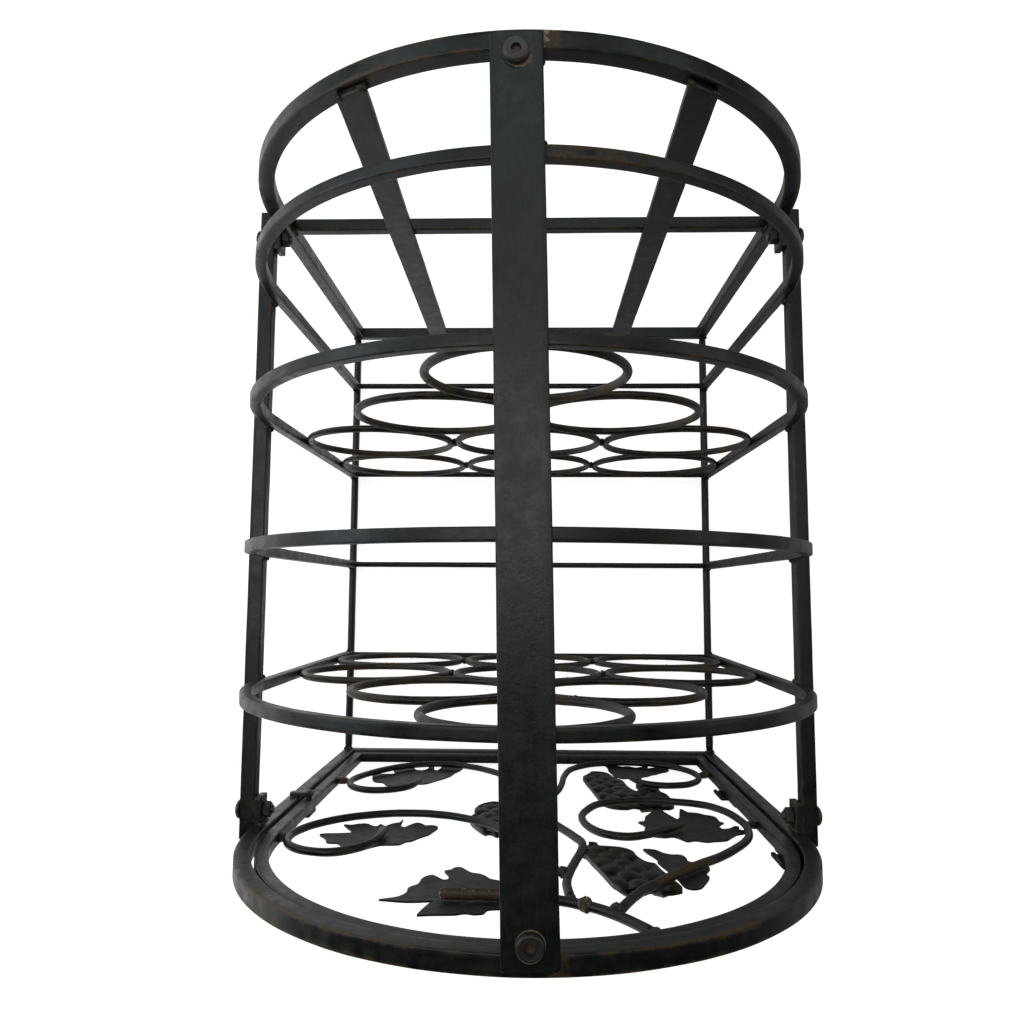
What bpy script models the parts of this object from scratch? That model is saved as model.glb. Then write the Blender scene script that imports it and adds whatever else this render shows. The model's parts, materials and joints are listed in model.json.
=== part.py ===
"""Arched wrought-iron wine rack for nine bottles, with a grapevine door.

Six arched frames stand in a row from the back to the front. Four of them are
plain hoops, and two of those hold nine wire rings each, so that a bottle lies
in a pair of rings. The front frame carries a hinged door with a turn latch.
X runs to the right as seen from the door, Y to the back, Z up.
"""
import math

import bmesh
import bpy
from mathutils import Vector

MM = 0.001
GAP = 0.3 * MM                      # left between two pieces that touch

# ---- driving dimensions ---------------------------------------------------
HALF_WIDTH = 155 * MM               # outside of every arch
FRAME_Y = 182 * MM                  # front and back frame, from the middle
FRAME_BAR = 8.5 * MM                # square bar of the front and back frame
HOOP_BAR = 6 * MM                   # square bar of the four hoops
HOOP_Y = (133.5 * MM, 55.5 * MM, -22.5 * MM, -99 * MM)
RING_HOOPS = (1, 3)                 # the hoops that hold bottle rings
RING_WIRE = 2.2 * MM                # radius
BASE_WIRE = 2.25 * MM               # radius
BASE_RAIL = 3 * MM                  # radius
SIDE_RAIL = 8.5 * MM                # square bar
SIDE_RAIL_Z = 223.5 * MM
CROSSBAR = 7.5 * MM
CROSSBAR_Z = 216 * MM
SLAT_X = 78 * MM
SLAT_WIDTH = 15 * MM
SLAT_THICK = 3 * MM
RIDGE_WIDTH = 22 * MM
RIDGE_THICK = 3 * MM
LUG_DEPTH = 5 * MM                  # tapped lugs under the ridge bar
RIDGE_SHORT = 3.5 * MM              # the ridge bar ends inside the frames' faces
RIDGE_X = -0.45 * MM                # the ridge bar's middle
RIDGE_TURN = math.radians(1.1)      # it crosses the hoops a little askew
SCREW_HEAD = 5.5 * MM               # radius of the ridge bar's screws
SCREW_RISE = 4 * MM
DOOR_BAR = 7 * MM
DOOR_GAP = 1.6 * MM
VINE = 2.5 * MM                     # radius of the scroll wire
LEAF_THICK = 1.5 * MM
GRAPE_THICK = 6.5 * MM
BOLT = 2.5 * MM                     # shank radius
BOLT_HOLE = 2.8 * MM
HINGE_Z = (98 * MM, 238 * MM)
HINGE_HALF = 22 * MM                # half the height of a hinge
BARREL = 3.5 * MM                   # radius
PIN = 1.5 * MM
PIN_HOLE = 1.6 * MM
PLATE_THICK = 2.2 * MM
LATCH_Z = 163 * MM

# ---- sizes that follow ------------------------------------------------------
FRAME_HALF = FRAME_BAR / 2
HOOP_HALF = HOOP_BAR / 2
HOOP_FOOT = 2 * BASE_RAIL + GAP
RING_OUTER = (2 * (HALF_WIDTH - HOOP_BAR) - 4 * GAP) / 6
RING_PITCH = 2 * RING_OUTER + GAP
NEST = RING_PITCH * math.sqrt(3) / 2
ROW_4 = HOOP_FOOT + 2 * BASE_WIRE + GAP + RING_OUTER
ROW_3 = ROW_4 + RING_PITCH
ROW_2 = ROW_3 + NEST
ROW_1 = ROW_2 + NEST
RING_PLACES = (
    (0, ROW_1),
    (-RING_PITCH / 2, ROW_2), (RING_PITCH / 2, ROW_2),
    (-RING_PITCH, ROW_3), (0, ROW_3), (RING_PITCH, ROW_3),
    (-RING_PITCH, ROW_4), (0, ROW_4), (RING_PITCH, ROW_4),
)
CROWN = ROW_1 + RING_OUTER + GAP + HOOP_BAR
SPRING = CROWN - HALF_WIDTH         # height where the sides turn into the arch
DOOR_HALF = HALF_WIDTH - FRAME_BAR - DOOR_GAP
DOOR_FOOT = FRAME_BAR + DOOR_GAP
FRONT_FACE = -FRAME_Y - FRAME_HALF
DOOR_Y = FRONT_FACE + DOOR_BAR / 2
HINGE_X = HALF_WIDTH - FRAME_BAR - DOOR_GAP / 2
HINGE_Y = FRONT_FACE - GAP - BARREL
RAIL_X = HALF_WIDTH + GAP + SIDE_RAIL / 2
RAIL_END = FRAME_Y + FRAME_HALF
RAIL_BOLT_Y = RAIL_END - 16 * MM
RIDGE_BOLT_Y = RAIL_END - 12.75 * MM
LATCH_X = -(DOOR_HALF - DOOR_BAR / 2)
# The hinges stand out in front, so the rack moves back to centre its own box.
RACK_SHIFT = ((BARREL - HINGE_Y) - RAIL_END) / 2

ARCH_STEPS = 32
LEFT, RIGHT = -1, 1


# ---- materials ----------------------------------------------------------------
def iron(name, shade, roughness, metallic):
    material = bpy.data.materials.new(name)
    material.use_nodes = True
    shader = material.node_tree.nodes["Principled BSDF"]
    shader.inputs["Base Color"].default_value = (*shade, 1)
    shader.inputs["Roughness"].default_value = roughness
    shader.inputs["Metallic"].default_value = metallic
    return material


def make_materials():
    return {
        "bar": iron("painted_bar", (0.055, 0.058, 0.060), 0.55, 0.4),
        "wire": iron("painted_wire", (0.045, 0.048, 0.050), 0.55, 0.4),
        "leaf": iron("painted_sheet", (0.060, 0.062, 0.062), 0.60, 0.4),
        "grape": iron("antiqued_grapes", (0.070, 0.060, 0.045), 0.60, 0.4),
        "bolt": iron("bolt_steel", (0.110, 0.095, 0.080), 0.50, 0.7),
    }


# ---- modelling helpers ----------------------------------------------------------
def clear_scene():
    for thing in list(bpy.data.objects):
        bpy.data.objects.remove(thing)


def hang(name, place, parent=None):
    """Hang every loose piece on a new empty at a joint's axis, staying in place."""
    loose = [thing for thing in bpy.data.objects if thing.type != "EMPTY" and not thing.parent]
    pivot = bpy.data.objects.new(name, None)
    bpy.context.scene.collection.objects.link(pivot)
    pivot.location = place
    for thing in loose:
        thing.parent = pivot
        thing.matrix_parent_inverse = pivot.matrix_basis.inverted()
    if parent:
        pivot.parent = parent
        pivot.matrix_parent_inverse = parent.matrix_basis.inverted()
    return pivot


def add_object(name, data, material):
    thing = bpy.data.objects.new(name, data)
    data.materials.append(material)
    bpy.context.scene.collection.objects.link(thing)
    return thing


def finish_mesh(name, shape, material, smooth=False):
    bmesh.ops.recalc_face_normals(shape, faces=shape.faces)
    mesh = bpy.data.meshes.new(name)
    shape.to_mesh(mesh)
    shape.free()
    if smooth:
        mesh.shade_smooth()
        mesh.set_sharp_from_angle(angle=math.radians(40))
    return add_object(name, mesh, material)


def box(name, low, high, material):
    shape = bmesh.new()
    bmesh.ops.create_cube(shape, size=1)
    size = [high[i] - low[i] for i in range(3)]
    middle = [(high[i] + low[i]) / 2 for i in range(3)]
    bmesh.ops.scale(shape, vec=size, verts=shape.verts)
    bmesh.ops.translate(shape, vec=middle, verts=shape.verts)
    return finish_mesh(name, shape, material)


def rod(name, start, end, radius, material, sides=16):
    """A straight round bar between two points."""
    start, end = Vector(start), Vector(end)
    way = end - start
    shape = bmesh.new()
    bmesh.ops.create_cone(shape, cap_ends=True, segments=sides,
                          radius1=radius, radius2=radius, depth=way.length)
    turn = way.to_track_quat("Z", "Y").to_matrix()
    bmesh.ops.rotate(shape, matrix=turn, verts=shape.verts)
    bmesh.ops.translate(shape, vec=(start + end) / 2, verts=shape.verts)
    return finish_mesh(name, shape, material, smooth=True)


def plate(name, outline, y_low, y_high, material):
    """A flat shape in the XZ plane, extruded along Y."""
    shape = bmesh.new()
    face = shape.faces.new([shape.verts.new((x, y_low, z)) for x, z in outline])
    grown = bmesh.ops.extrude_face_region(shape, geom=[face])
    moved = [v for v in grown["geom"] if isinstance(v, bmesh.types.BMVert)]
    bmesh.ops.translate(shape, vec=(0, y_high - y_low, 0), verts=moved)
    return finish_mesh(name, shape, material)


def arch_outline(half_width, foot):
    """Points from the left foot over the crown to the right foot."""
    points = [(-half_width, foot)]
    for step in range(ARCH_STEPS + 1):
        angle = math.pi * (1 - step / ARCH_STEPS)
        points.append((half_width * math.cos(angle),
                       SPRING + half_width * math.sin(angle)))
    points.append((half_width, foot))
    return points


def band(name, outer, inner, y_low, y_high, closed, material):
    """A square bar between two outlines with the same number of points."""
    shape = bmesh.new()
    rows = []
    for outline, y in ((outer, y_low), (inner, y_low), (inner, y_high), (outer, y_high)):
        rows.append([shape.verts.new((x, y, z)) for x, z in outline])
    count = len(outer)
    for i in range(count if closed else count - 1):
        k = (i + 1) % count
        for a in range(4):
            b = (a + 1) % 4
            shape.faces.new((rows[a][i], rows[a][k], rows[b][k], rows[b][i]))
    if not closed:
        for i in (0, count - 1):
            shape.faces.new([row[i] for row in rows])
    return finish_mesh(name, shape, material)


def curve_tube(name, points, radius, material, cyclic=False, resolution=1):
    data = bpy.data.curves.new(name, "CURVE")
    data.dimensions = "3D"
    data.bevel_depth = radius
    data.bevel_resolution = resolution
    data.use_fill_caps = not cyclic
    spline = data.splines.new("POLY")
    spline.points.add(len(points) - 1)
    for slot, point in zip(spline.points, points):
        slot.co = (*point, 1)
    spline.use_cyclic_u = cyclic
    return add_object(name, data, material)


def smooth_path(knots, steps):
    """Points on a Catmull-Rom curve through the knots."""
    ends = [2 * knots[0] - knots[1], 2 * knots[-1] - knots[-2]]
    chain = [ends[0], *knots, ends[1]]
    path = []
    for i in range(1, len(chain) - 2):
        a, b, c, d = chain[i - 1:i + 3]
        for step in range(steps):
            t = step / steps
            path.append(0.5 * (2 * b + (c - a) * t + (2 * a - 5 * b + 4 * c - d) * t * t
                               + (3 * b - a - 3 * c + d) * t ** 3))
    path.append(knots[-1])
    return path


def combine(target, tool, operation):
    """Join or cut with a second object, which then stays out of the model."""
    change = target.modifiers.new(operation.lower() + "_" + tool.name, "BOOLEAN")
    change.object = tool
    change.operation = operation
    change.solver = "EXACT"
    tool.hide_render = True
    tool.display_type = "WIRE"
    return target


# ---- back, hoops and bottle rings --------------------------------------------------
def rail_tab(frame, side, y_sign, material):
    """A lug behind the frame's bar, with the hole of the side rail's bolt."""
    inner = side * (HALF_WIDTH - 4 * MM)
    outer = side * HALF_WIDTH
    x_low, x_high = sorted((inner, outer))
    y_low, y_high = sorted((y_sign * (RAIL_END - 2 * MM), y_sign * (RAIL_END - 24 * MM)))
    half = 6 * MM
    name = frame.name + ("_lug_left" if side == LEFT else "_lug_right")
    lug = box(name, (x_low, y_low, SIDE_RAIL_Z - half), (x_high, y_high, SIDE_RAIL_Z + half), material)
    combine(frame, lug, "UNION")
    y = y_sign * RAIL_BOLT_Y
    hole = rod(name + "_hole", (side * 140 * MM, y, SIDE_RAIL_Z),
               (side * 170 * MM, y, SIDE_RAIL_Z), BOLT_HOLE, material)
    combine(frame, hole, "DIFFERENCE")


def ridge_x(y):
    """Where the middle of the ridge bar passes over y."""
    return RIDGE_X - y * math.tan(RIDGE_TURN)


def ridge_lug(frame, y_sign, material):
    """A tapped lug behind the frame's crown, hidden under the ridge bar."""
    near, far = sorted((y_sign * (FRAME_Y - 2 * MM), y_sign * (RIDGE_BOLT_Y - 7 * MM)))
    y = y_sign * RIDGE_BOLT_Y
    x = ridge_x(y)
    lug = box(frame.name + "_crown_lug", (x - 8 * MM, near, CROWN - LUG_DEPTH),
              (x + 8 * MM, far, CROWN - 1 * MM), material)
    combine(frame, lug, "UNION")
    hole = rod(frame.name + "_crown_hole", (x, y, CROWN - 9 * MM), (x, y, CROWN + 5 * MM),
               BOLT_HOLE, material)
    combine(frame, hole, "DIFFERENCE")


def end_frame(name, y_sign, material):
    outer = arch_outline(HALF_WIDTH, 0)
    inner = arch_outline(HALF_WIDTH - FRAME_BAR, FRAME_BAR)
    y = y_sign * FRAME_Y
    frame = band(name, outer, inner, y - FRAME_HALF, y + FRAME_HALF, True, material)
    for side in (LEFT, RIGHT):
        rail_tab(frame, side, y_sign, material)
    ridge_lug(frame, y_sign, material)


def back_crossbar(material):
    reach = HALF_WIDTH - FRAME_BAR - GAP
    half = CROSSBAR / 2
    box("back_crossbar", (-reach, FRAME_Y - half, CROSSBAR_Z - half),
        (reach, FRAME_Y + half, CROSSBAR_Z + half), material)


def slat_top(x):
    """Height of a slat's end at x: along the arch, and under the lug in the middle."""
    along_arch = SPRING + math.sqrt((HALF_WIDTH - 3 * MM) ** 2 - x ** 2)
    return min(along_arch, CROWN - LUG_DEPTH - GAP)


def back_slats(material):
    """Flat strips on the inner face of the back frame, cut off along the arch."""
    y_high = FRAME_Y - FRAME_HALF - GAP
    for name, x in (("left", -SLAT_X), ("center", 0), ("right", SLAT_X)):
        left, right = x - SLAT_WIDTH / 2, x + SLAT_WIDTH / 2
        outline = ((left, 1 * MM), (right, 1 * MM), (right, slat_top(right)),
                   (left, slat_top(left)))
        plate("back_slat_" + name, outline, y_high - SLAT_THICK, y_high, material)


def hoop(name, y, material):
    """A plain arch whose feet stand on the base rails, tied by a wire."""
    outer = arch_outline(HALF_WIDTH, HOOP_FOOT)
    inner = arch_outline(HALF_WIDTH - HOOP_BAR, HOOP_FOOT)
    bar = band(name, outer, inner, y - HOOP_HALF, y + HOOP_HALF, False, material)
    reach = HALF_WIDTH - HOOP_HALF
    z = HOOP_FOOT + BASE_WIRE + 0.05 * MM
    wire = rod(name + "_base_wire", (-reach, y, z), (reach, y, z), BASE_WIRE, material)
    combine(bar, wire, "UNION")


def bottle_rings(hoop_index, label, material):
    radius = RING_OUTER - RING_WIRE
    y = HOOP_Y[hoop_index]
    for number, (x, z) in enumerate(RING_PLACES, start=1):
        points = []
        for step in range(24):
            angle = math.tau * step / 24
            points.append((x + radius * math.cos(angle), y, z + radius * math.sin(angle)))
        curve_tube(f"{label}_ring_{number}", points, RING_WIRE, material, cyclic=True)


# ---- ridge bar and rails --------------------------------------------------------------
RIDGE_FOOT = CROWN + GAP
RIDGE_TOP = RIDGE_FOOT + RIDGE_THICK


def ridge_bar(material):
    reach = RAIL_END - RIDGE_SHORT
    bar = box("ridge_bar", (-RIDGE_WIDTH / 2, -reach, RIDGE_FOOT),
              (RIDGE_WIDTH / 2, reach, RIDGE_TOP), material)
    bar.rotation_euler.z = RIDGE_TURN
    bar.location.x = RIDGE_X
    for name, y in (("front", -RIDGE_BOLT_Y), ("back", RIDGE_BOLT_Y)):
        x = ridge_x(y)
        hole = rod(f"ridge_{name}_hole", (x, y, RIDGE_FOOT - 5 * MM),
                   (x, y, RIDGE_TOP + 5 * MM), BOLT_HOLE, material)
        combine(bar, hole, "DIFFERENCE")


def turned(name, profile, material, sides=24):
    """A solid of revolution about Z from (radius, z) points, axis to axis."""
    shape = bmesh.new()
    rings = []
    for radius, z in profile:
        if radius == 0:
            rings.append([shape.verts.new((0, 0, z))])
            continue
        rings.append([shape.verts.new((radius * math.cos(math.tau * i / sides),
                                       radius * math.sin(math.tau * i / sides), z))
                      for i in range(sides)])
    for low, high in zip(rings, rings[1:]):
        for i in range(sides):
            k = (i + 1) % sides
            corners = [low[i % len(low)], low[k % len(low)], high[k % len(high)], high[i % len(high)]]
            shape.faces.new(list(dict.fromkeys(corners)))
    return finish_mesh(name, shape, material, smooth=True)


def ridge_bolt(name, y, material):
    """A button-head screw with a hexagon socket, down into the frame's lug."""
    head = RIDGE_TOP + GAP
    top = head + SCREW_RISE
    tip = CROWN - LUG_DEPTH + 0.2 * MM
    profile = ((0, tip), (BOLT, tip), (BOLT, head), (SCREW_HEAD, head),
               (SCREW_HEAD, top - 1.5 * MM), (SCREW_HEAD - 0.6 * MM, top - 0.4 * MM),
               (SCREW_HEAD - 1.7 * MM, top), (0, top))
    bolt = turned(name, profile, material)
    x = ridge_x(y)
    bolt.location = (x, y, 0)
    socket = bmesh.new()
    bmesh.ops.create_cone(socket, cap_ends=True, segments=6, radius1=2.1 * MM,
                          radius2=2.1 * MM, depth=6 * MM)
    bmesh.ops.translate(socket, vec=(x, y, top - 2.2 * MM + 3 * MM), verts=socket.verts)
    combine(bolt, finish_mesh(name + "_socket", socket, material), "DIFFERENCE")


def side_rail(name, side, material):
    half = SIDE_RAIL / 2
    x = side * RAIL_X
    rail = box(name, (x - half, -RAIL_END, SIDE_RAIL_Z - half),
               (x + half, RAIL_END, SIDE_RAIL_Z + half), material)
    for label, y in (("front", -RAIL_BOLT_Y), ("back", RAIL_BOLT_Y)):
        hole = rod(f"{name}_{label}_hole", (x - 10 * MM, y, SIDE_RAIL_Z),
                   (x + 10 * MM, y, SIDE_RAIL_Z), BOLT_HOLE, material)
        combine(rail, hole, "DIFFERENCE")


def rail_bolt(name, side, y, material):
    """A carriage bolt through rail and lug, with its nut run up tight."""
    outside = RAIL_X + SIDE_RAIL / 2 + GAP
    inside = HALF_WIDTH - 4 * MM - GAP
    profile = ((0, inside - 5.5 * MM), (BOLT, inside - 5.5 * MM), (BOLT, inside - 4 * MM),
               (4 * MM, inside - 4 * MM), (4 * MM, inside), (BOLT, inside),
               (BOLT, outside), (5.5 * MM, outside), (5.3 * MM, outside + 1.2 * MM),
               (3.9 * MM, outside + 2.4 * MM), (0, outside + 3 * MM))
    bolt = turned(name, profile, material, sides=18)
    bolt.rotation_euler = (0, side * math.pi / 2, 0)
    bolt.location = (0, y, SIDE_RAIL_Z)


def base_rail(name, side, material):
    x = side * (HALF_WIDTH - HOOP_HALF)
    reach = FRAME_Y - FRAME_HALF - GAP
    rod(name, (x, -reach, BASE_RAIL), (x, reach, BASE_RAIL), BASE_RAIL, material)


# ---- door: scrolls, leaves and grapes ---------------------------------------------------
# Knots of the scroll wires in the door's plane, x and z in millimetres.
TOP_BRANCH = ((53, 354), (45, 343), (36, 333), (26, 326), (15, 321), (0, 318), (-18, 315),
              (-39, 315))
RIGHT_VINE = ((42, 331), (47, 321), (54, 309), (62, 299), (70, 290), (84, 275), (103, 257),
              (115, 242), (125, 226), (130, 207), (130, 189), (125, 168), (115, 154), (98, 147),
              (83, 144), (64, 147), (47, 155), (37, 173), (34, 189), (37, 207), (45, 220),
              (57, 225), (68, 221), (78, 213), (87, 205), (93, 198))
STEM = ((21, 318), (20, 300), (22, 285), (26, 267), (30, 250), (31, 237), (27, 225), (21, 211),
        (15, 195), (12, 175), (13, 155), (17, 137), (22, 118), (25, 100), (27, 80), (32, 57),
        (41, 42), (54, 32), (73, 27), (93, 28), (109, 35), (122, 49), (128, 66), (126, 84),
        (117, 97), (105, 102), (93, 101), (83, 94), (77, 80))
LEFT_VINE = ((15.9, 286), (14.3, 276), (11, 262), (5, 247), (-4, 230), (-15, 213), (-30, 197),
             (-49, 186), (-68, 182), (-88, 184), (-107, 192), (-122, 205), (-131, 220),
             (-133, 234), (-129, 247), (-119, 256), (-106, 259), (-95, 255), (-87, 246),
             (-83, 233), (-83, 214))
LOWER_LEFT_VINE = ((8, 140), (2, 120), (-6, 98), (-17, 77), (-32, 58), (-50, 44), (-72, 38),
                   (-92, 44), (-108, 57), (-121, 76), (-128, 96), (-125, 113), (-115, 123),
                   (-102, 125), (-90, 120), (-82, 109), (-79, 92))

# Leaf and grape outlines, x and z in millimetres, in the plane outside the scrolls.
UPPER_LEFT_LEAF = ((-8, 322), (-16, 324), (-18, 328), (-22, 329), (-26, 328), (-31, 330),
                   (-47, 331), (-45, 324), (-43, 318), (-41, 315), (-47, 316), (-55, 316),
                   (-67, 314), (-59, 309), (-56, 303), (-56, 296), (-52, 292), (-51, 286),
                   (-49, 282), (-46, 281), (-43, 284), (-40, 287), (-38, 286), (-38, 282),
                   (-41, 274), (-38, 272), (-36, 268), (-33, 268), (-30, 272), (-27, 276),
                   (-23, 278), (-20, 281), (-17, 286), (-12, 289), (-8, 298))
LEFT_LEAF = ((-90, 243), (-98, 242), (-103, 236), (-106, 232), (-112, 231), (-115, 224),
             (-120, 217), (-119, 214), (-103, 212), (-103, 209), (-107, 202), (-111, 195),
             (-106, 196), (-101, 193), (-97, 193), (-92, 198), (-90, 198), (-89, 193), (-85, 198),
             (-82, 193), (-78, 190), (-76.5, 183), (-76, 192), (-75.5, 198), (-73, 200),
             (-70.5, 195), (-67, 190), (-64, 191), (-61, 195), (-58, 194), (-54, 196),
             (-53, 200), (-55, 207), (-57, 213), (-61, 219), (-65, 226), (-68, 228), (-71, 233),
             (-81, 235))
LOWER_LEFT_LEAF = ((-91, 98), (-98, 98), (-103, 96), (-107, 88), (-113, 86), (-116, 80),
                   (-118, 72), (-120, 60), (-121, 51), (-116, 57), (-111, 59), (-104, 58),
                   (-105, 50), (-109, 38), (-108, 31), (-102, 29), (-97, 27), (-92, 30),
                   (-91, 38), (-88, 46), (-83, 47), (-80, 42), (-79, 29), (-77, 27),
                   (-75, 36), (-74, 44), (-71.5, 45), (-70, 38), (-69, 28), (-63, 25), (-57, 29),
                   (-52, 30), (-53, 41), (-57, 53), (-59, 64), (-64, 74), (-69, 81), (-73, 88),
                   (-77, 92), (-85, 93))
RIGHT_LEAF = ((80, 214), (86, 213), (89, 217), (92, 221), (97, 219), (103, 221), (108, 219),
              (115, 217), (120, 211), (124, 206), (129, 203), (132, 198), (128, 196), (129, 190),
              (127, 189), (122, 193), (118, 194), (117, 191), (119, 186), (122, 181), (120, 179),
              (120, 172), (119, 167), (113, 164), (110, 161), (104, 160), (101, 154), (100, 153),
              (98, 162), (96, 172), (94, 174), (91, 167), (89, 162), (87, 155), (84, 155),
              (80, 162), (75, 171), (73, 180), (69, 183), (71, 189), (72, 194), (70.5, 200),
              (73, 204), (73, 211))
LOWER_RIGHT_LEAF = ((67, 64), (69, 63.5), (73, 67), (77, 66), (79, 73), (84, 75), (86, 71),
                    (87, 63), (90, 60), (93, 58), (96, 54), (100, 51), (105, 45), (110, 40),
                    (113, 33), (113, 26), (109, 24), (105, 21), (101, 25), (97, 28), (98, 20),
                    (95, 20), (91, 24), (87, 27), (84, 24), (81, 22), (77, 25), (74, 24),
                    (68, 24), (62, 20), (64, 31), (64, 40), (65.5, 50))
UPPER_RIGHT_LEAF = ((77.5, 293), (81, 295), (85, 293), (88, 288), (92, 279), (91.5, 274),
                    (95, 266), (95, 261), (91, 257), (86, 255), (86, 249), (84, 243), (79, 243),
                    (75, 240), (72, 235), (67, 233), (65, 234), (66, 240), (68, 246), (70, 253),
                    (69.5, 258), (72, 268), (75, 280))
UPPER_GRAPES = ((46, 293), (50, 296), (54, 293), (58, 295), (62, 293), (67, 297), (72, 296),
                (76, 293), (73.5, 281), (70, 268), (68, 258), (66, 257), (63, 254), (60, 246),
                (59, 239), (56, 234), (51, 231), (45, 230), (41, 229), (40, 224), (36, 223),
                (35, 229), (30, 233), (29, 239), (33, 247), (35, 256), (38, 267), (41, 280),
                (43, 288))
LOWER_GRAPES = ((52, 138), (57, 144), (62, 146), (67, 146), (71, 143), (77, 145), (83, 143),
                (89, 145), (96, 144), (99, 138), (99, 125), (98, 112), (95, 104), (95, 95),
                (92, 87), (87, 80), (83, 79), (80, 84), (81, 92), (80, 100), (78, 104),
                (75.5, 99), (73, 88), (72, 75), (70, 68), (67, 65.5), (64, 52), (61, 45),
                (56, 42), (51, 42), (48, 49), (45, 55), (42.5, 61), (43, 70), (44, 80),
                (46, 93), (48, 110), (50, 126))
MIDDLE_GRAPES = ((-17, 208), (-21, 205), (-26, 202), (-31, 194), (-35, 182), (-35, 173),
                 (-33, 167), (-34, 158), (-32, 148), (-28, 141), (-22, 137), (-16, 140),
                 (-10, 150), (-8, 165), (-8, 185), (-11, 200))


def in_door(points):
    return [(x * MM, z * MM) for x, z in points]


def vine(name, knots, material):
    places = [Vector((x, DOOR_Y, z)) for x, z in in_door(knots)]
    curve_tube(name, smooth_path(places, 3), VINE, material)


def leaf(name, outline, material):
    y_high = DOOR_Y - VINE - GAP
    plate(name, in_door(outline), y_high - LEAF_THICK, y_high, material)


def grapes(name, outline, material):
    y_high = DOOR_Y - VINE - GAP
    plate(name, in_door(outline), y_high - GRAPE_THICK, y_high, material)


def door_frame(material):
    outer = arch_outline(DOOR_HALF, DOOR_FOOT)
    inner = arch_outline(DOOR_HALF - DOOR_BAR, DOOR_FOOT + DOOR_BAR)
    frame = band("door_frame", outer, inner, DOOR_Y - DOOR_BAR / 2, DOOR_Y + DOOR_BAR / 2,
                 True, material)
    hole = rod("door_latch_hole", (LATCH_X, DOOR_Y - 10 * MM, LATCH_Z),
               (LATCH_X, DOOR_Y + 10 * MM, LATCH_Z), 2.1 * MM, material, sides=24)
    combine(frame, hole, "DIFFERENCE")


def door_panel(paint):
    vine("top_branch", TOP_BRANCH, paint["wire"])
    vine("right_vine", RIGHT_VINE, paint["wire"])
    vine("vine_stem", STEM, paint["wire"])
    vine("left_vine", LEFT_VINE, paint["wire"])
    vine("lower_left_vine", LOWER_LEFT_VINE, paint["wire"])
    leaf("upper_left_leaf", UPPER_LEFT_LEAF, paint["leaf"])
    leaf("left_leaf", LEFT_LEAF, paint["leaf"])
    leaf("lower_left_leaf", LOWER_LEFT_LEAF, paint["leaf"])
    leaf("right_leaf", RIGHT_LEAF, paint["leaf"])
    leaf("lower_right_leaf", LOWER_RIGHT_LEAF, paint["leaf"])
    leaf("upper_right_leaf", UPPER_RIGHT_LEAF, paint["leaf"])
    grapes("upper_grapes", UPPER_GRAPES, paint["grape"])
    grapes("lower_grapes", LOWER_GRAPES, paint["grape"])
    grapes("middle_grapes", MIDDLE_GRAPES, paint["grape"])


# ---- hinges and latch -----------------------------------------------------------------
PLATE_BACK = FRONT_FACE - GAP
PLATE_FRONT = PLATE_BACK - PLATE_THICK
PLATE_REACH = BARREL + 0.3 * MM


def hinge_pintle(name, z, material):
    """The frame's half: lower barrel with the pin standing in it, and a plate."""
    barrel = rod(name, (HINGE_X, HINGE_Y, z - HINGE_HALF), (HINGE_X, HINGE_Y, z - GAP / 2),
                 BARREL, material, sides=24)
    pin = rod(name + "_pin", (HINGE_X, HINGE_Y, z - 5 * MM),
              (HINGE_X, HINGE_Y, z + HINGE_HALF - 3 * MM), PIN, material, sides=24)
    arm = box(name + "_arm", (HINGE_X, PLATE_FRONT, z - HINGE_HALF + 1 * MM),
              (HALF_WIDTH - 1 * MM, PLATE_BACK, z - 1 * MM), material)
    combine(barrel, arm, "UNION")
    combine(barrel, pin, "UNION")


def hinge_barrel(name, z, material):
    """The door's half: upper barrel with the hole for the pin, and a plate."""
    barrel = rod(name, (HINGE_X, HINGE_Y, z + GAP / 2), (HINGE_X, HINGE_Y, z + HINGE_HALF),
                 BARREL, material, sides=24)
    arm = box(name + "_arm", (HINGE_X - 11.5 * MM, PLATE_FRONT, z + 1 * MM),
              (HINGE_X, PLATE_BACK, z + HINGE_HALF - 1 * MM), material)
    hole = rod(name + "_hole", (HINGE_X, HINGE_Y, z - 5 * MM),
               (HINGE_X, HINGE_Y, z + HINGE_HALF - 2 * MM), PIN_HOLE, material, sides=24)
    combine(barrel, arm, "UNION")
    combine(barrel, hole, "DIFFERENCE")


LATCH_BACK = -FRAME_Y + FRAME_HALF + 0.35 * MM


def latch_turn(material):
    """A turn button: an upright thumb bar, and a tongue that reaches behind the frame."""
    shank = rod("latch_turn", (LATCH_X, FRONT_FACE - 4 * MM, LATCH_Z),
                (LATCH_X, LATCH_BACK + 1 * MM, LATCH_Z), 2 * MM, material, sides=24)
    tongue = box("latch_tongue", (LATCH_X - 12 * MM, LATCH_BACK, LATCH_Z - 3 * MM),
                 (LATCH_X + 3 * MM, LATCH_BACK + 2.5 * MM, LATCH_Z + 3 * MM), material)
    thumb = box("latch_thumb", (LATCH_X - 2.8 * MM, FRONT_FACE - 3.4 * MM, LATCH_Z - 8 * MM),
                (LATCH_X + 2.8 * MM, FRONT_FACE - 0.4 * MM, LATCH_Z + 8 * MM), material)
    combine(shank, tongue, "UNION")
    combine(shank, thumb, "UNION")


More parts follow.
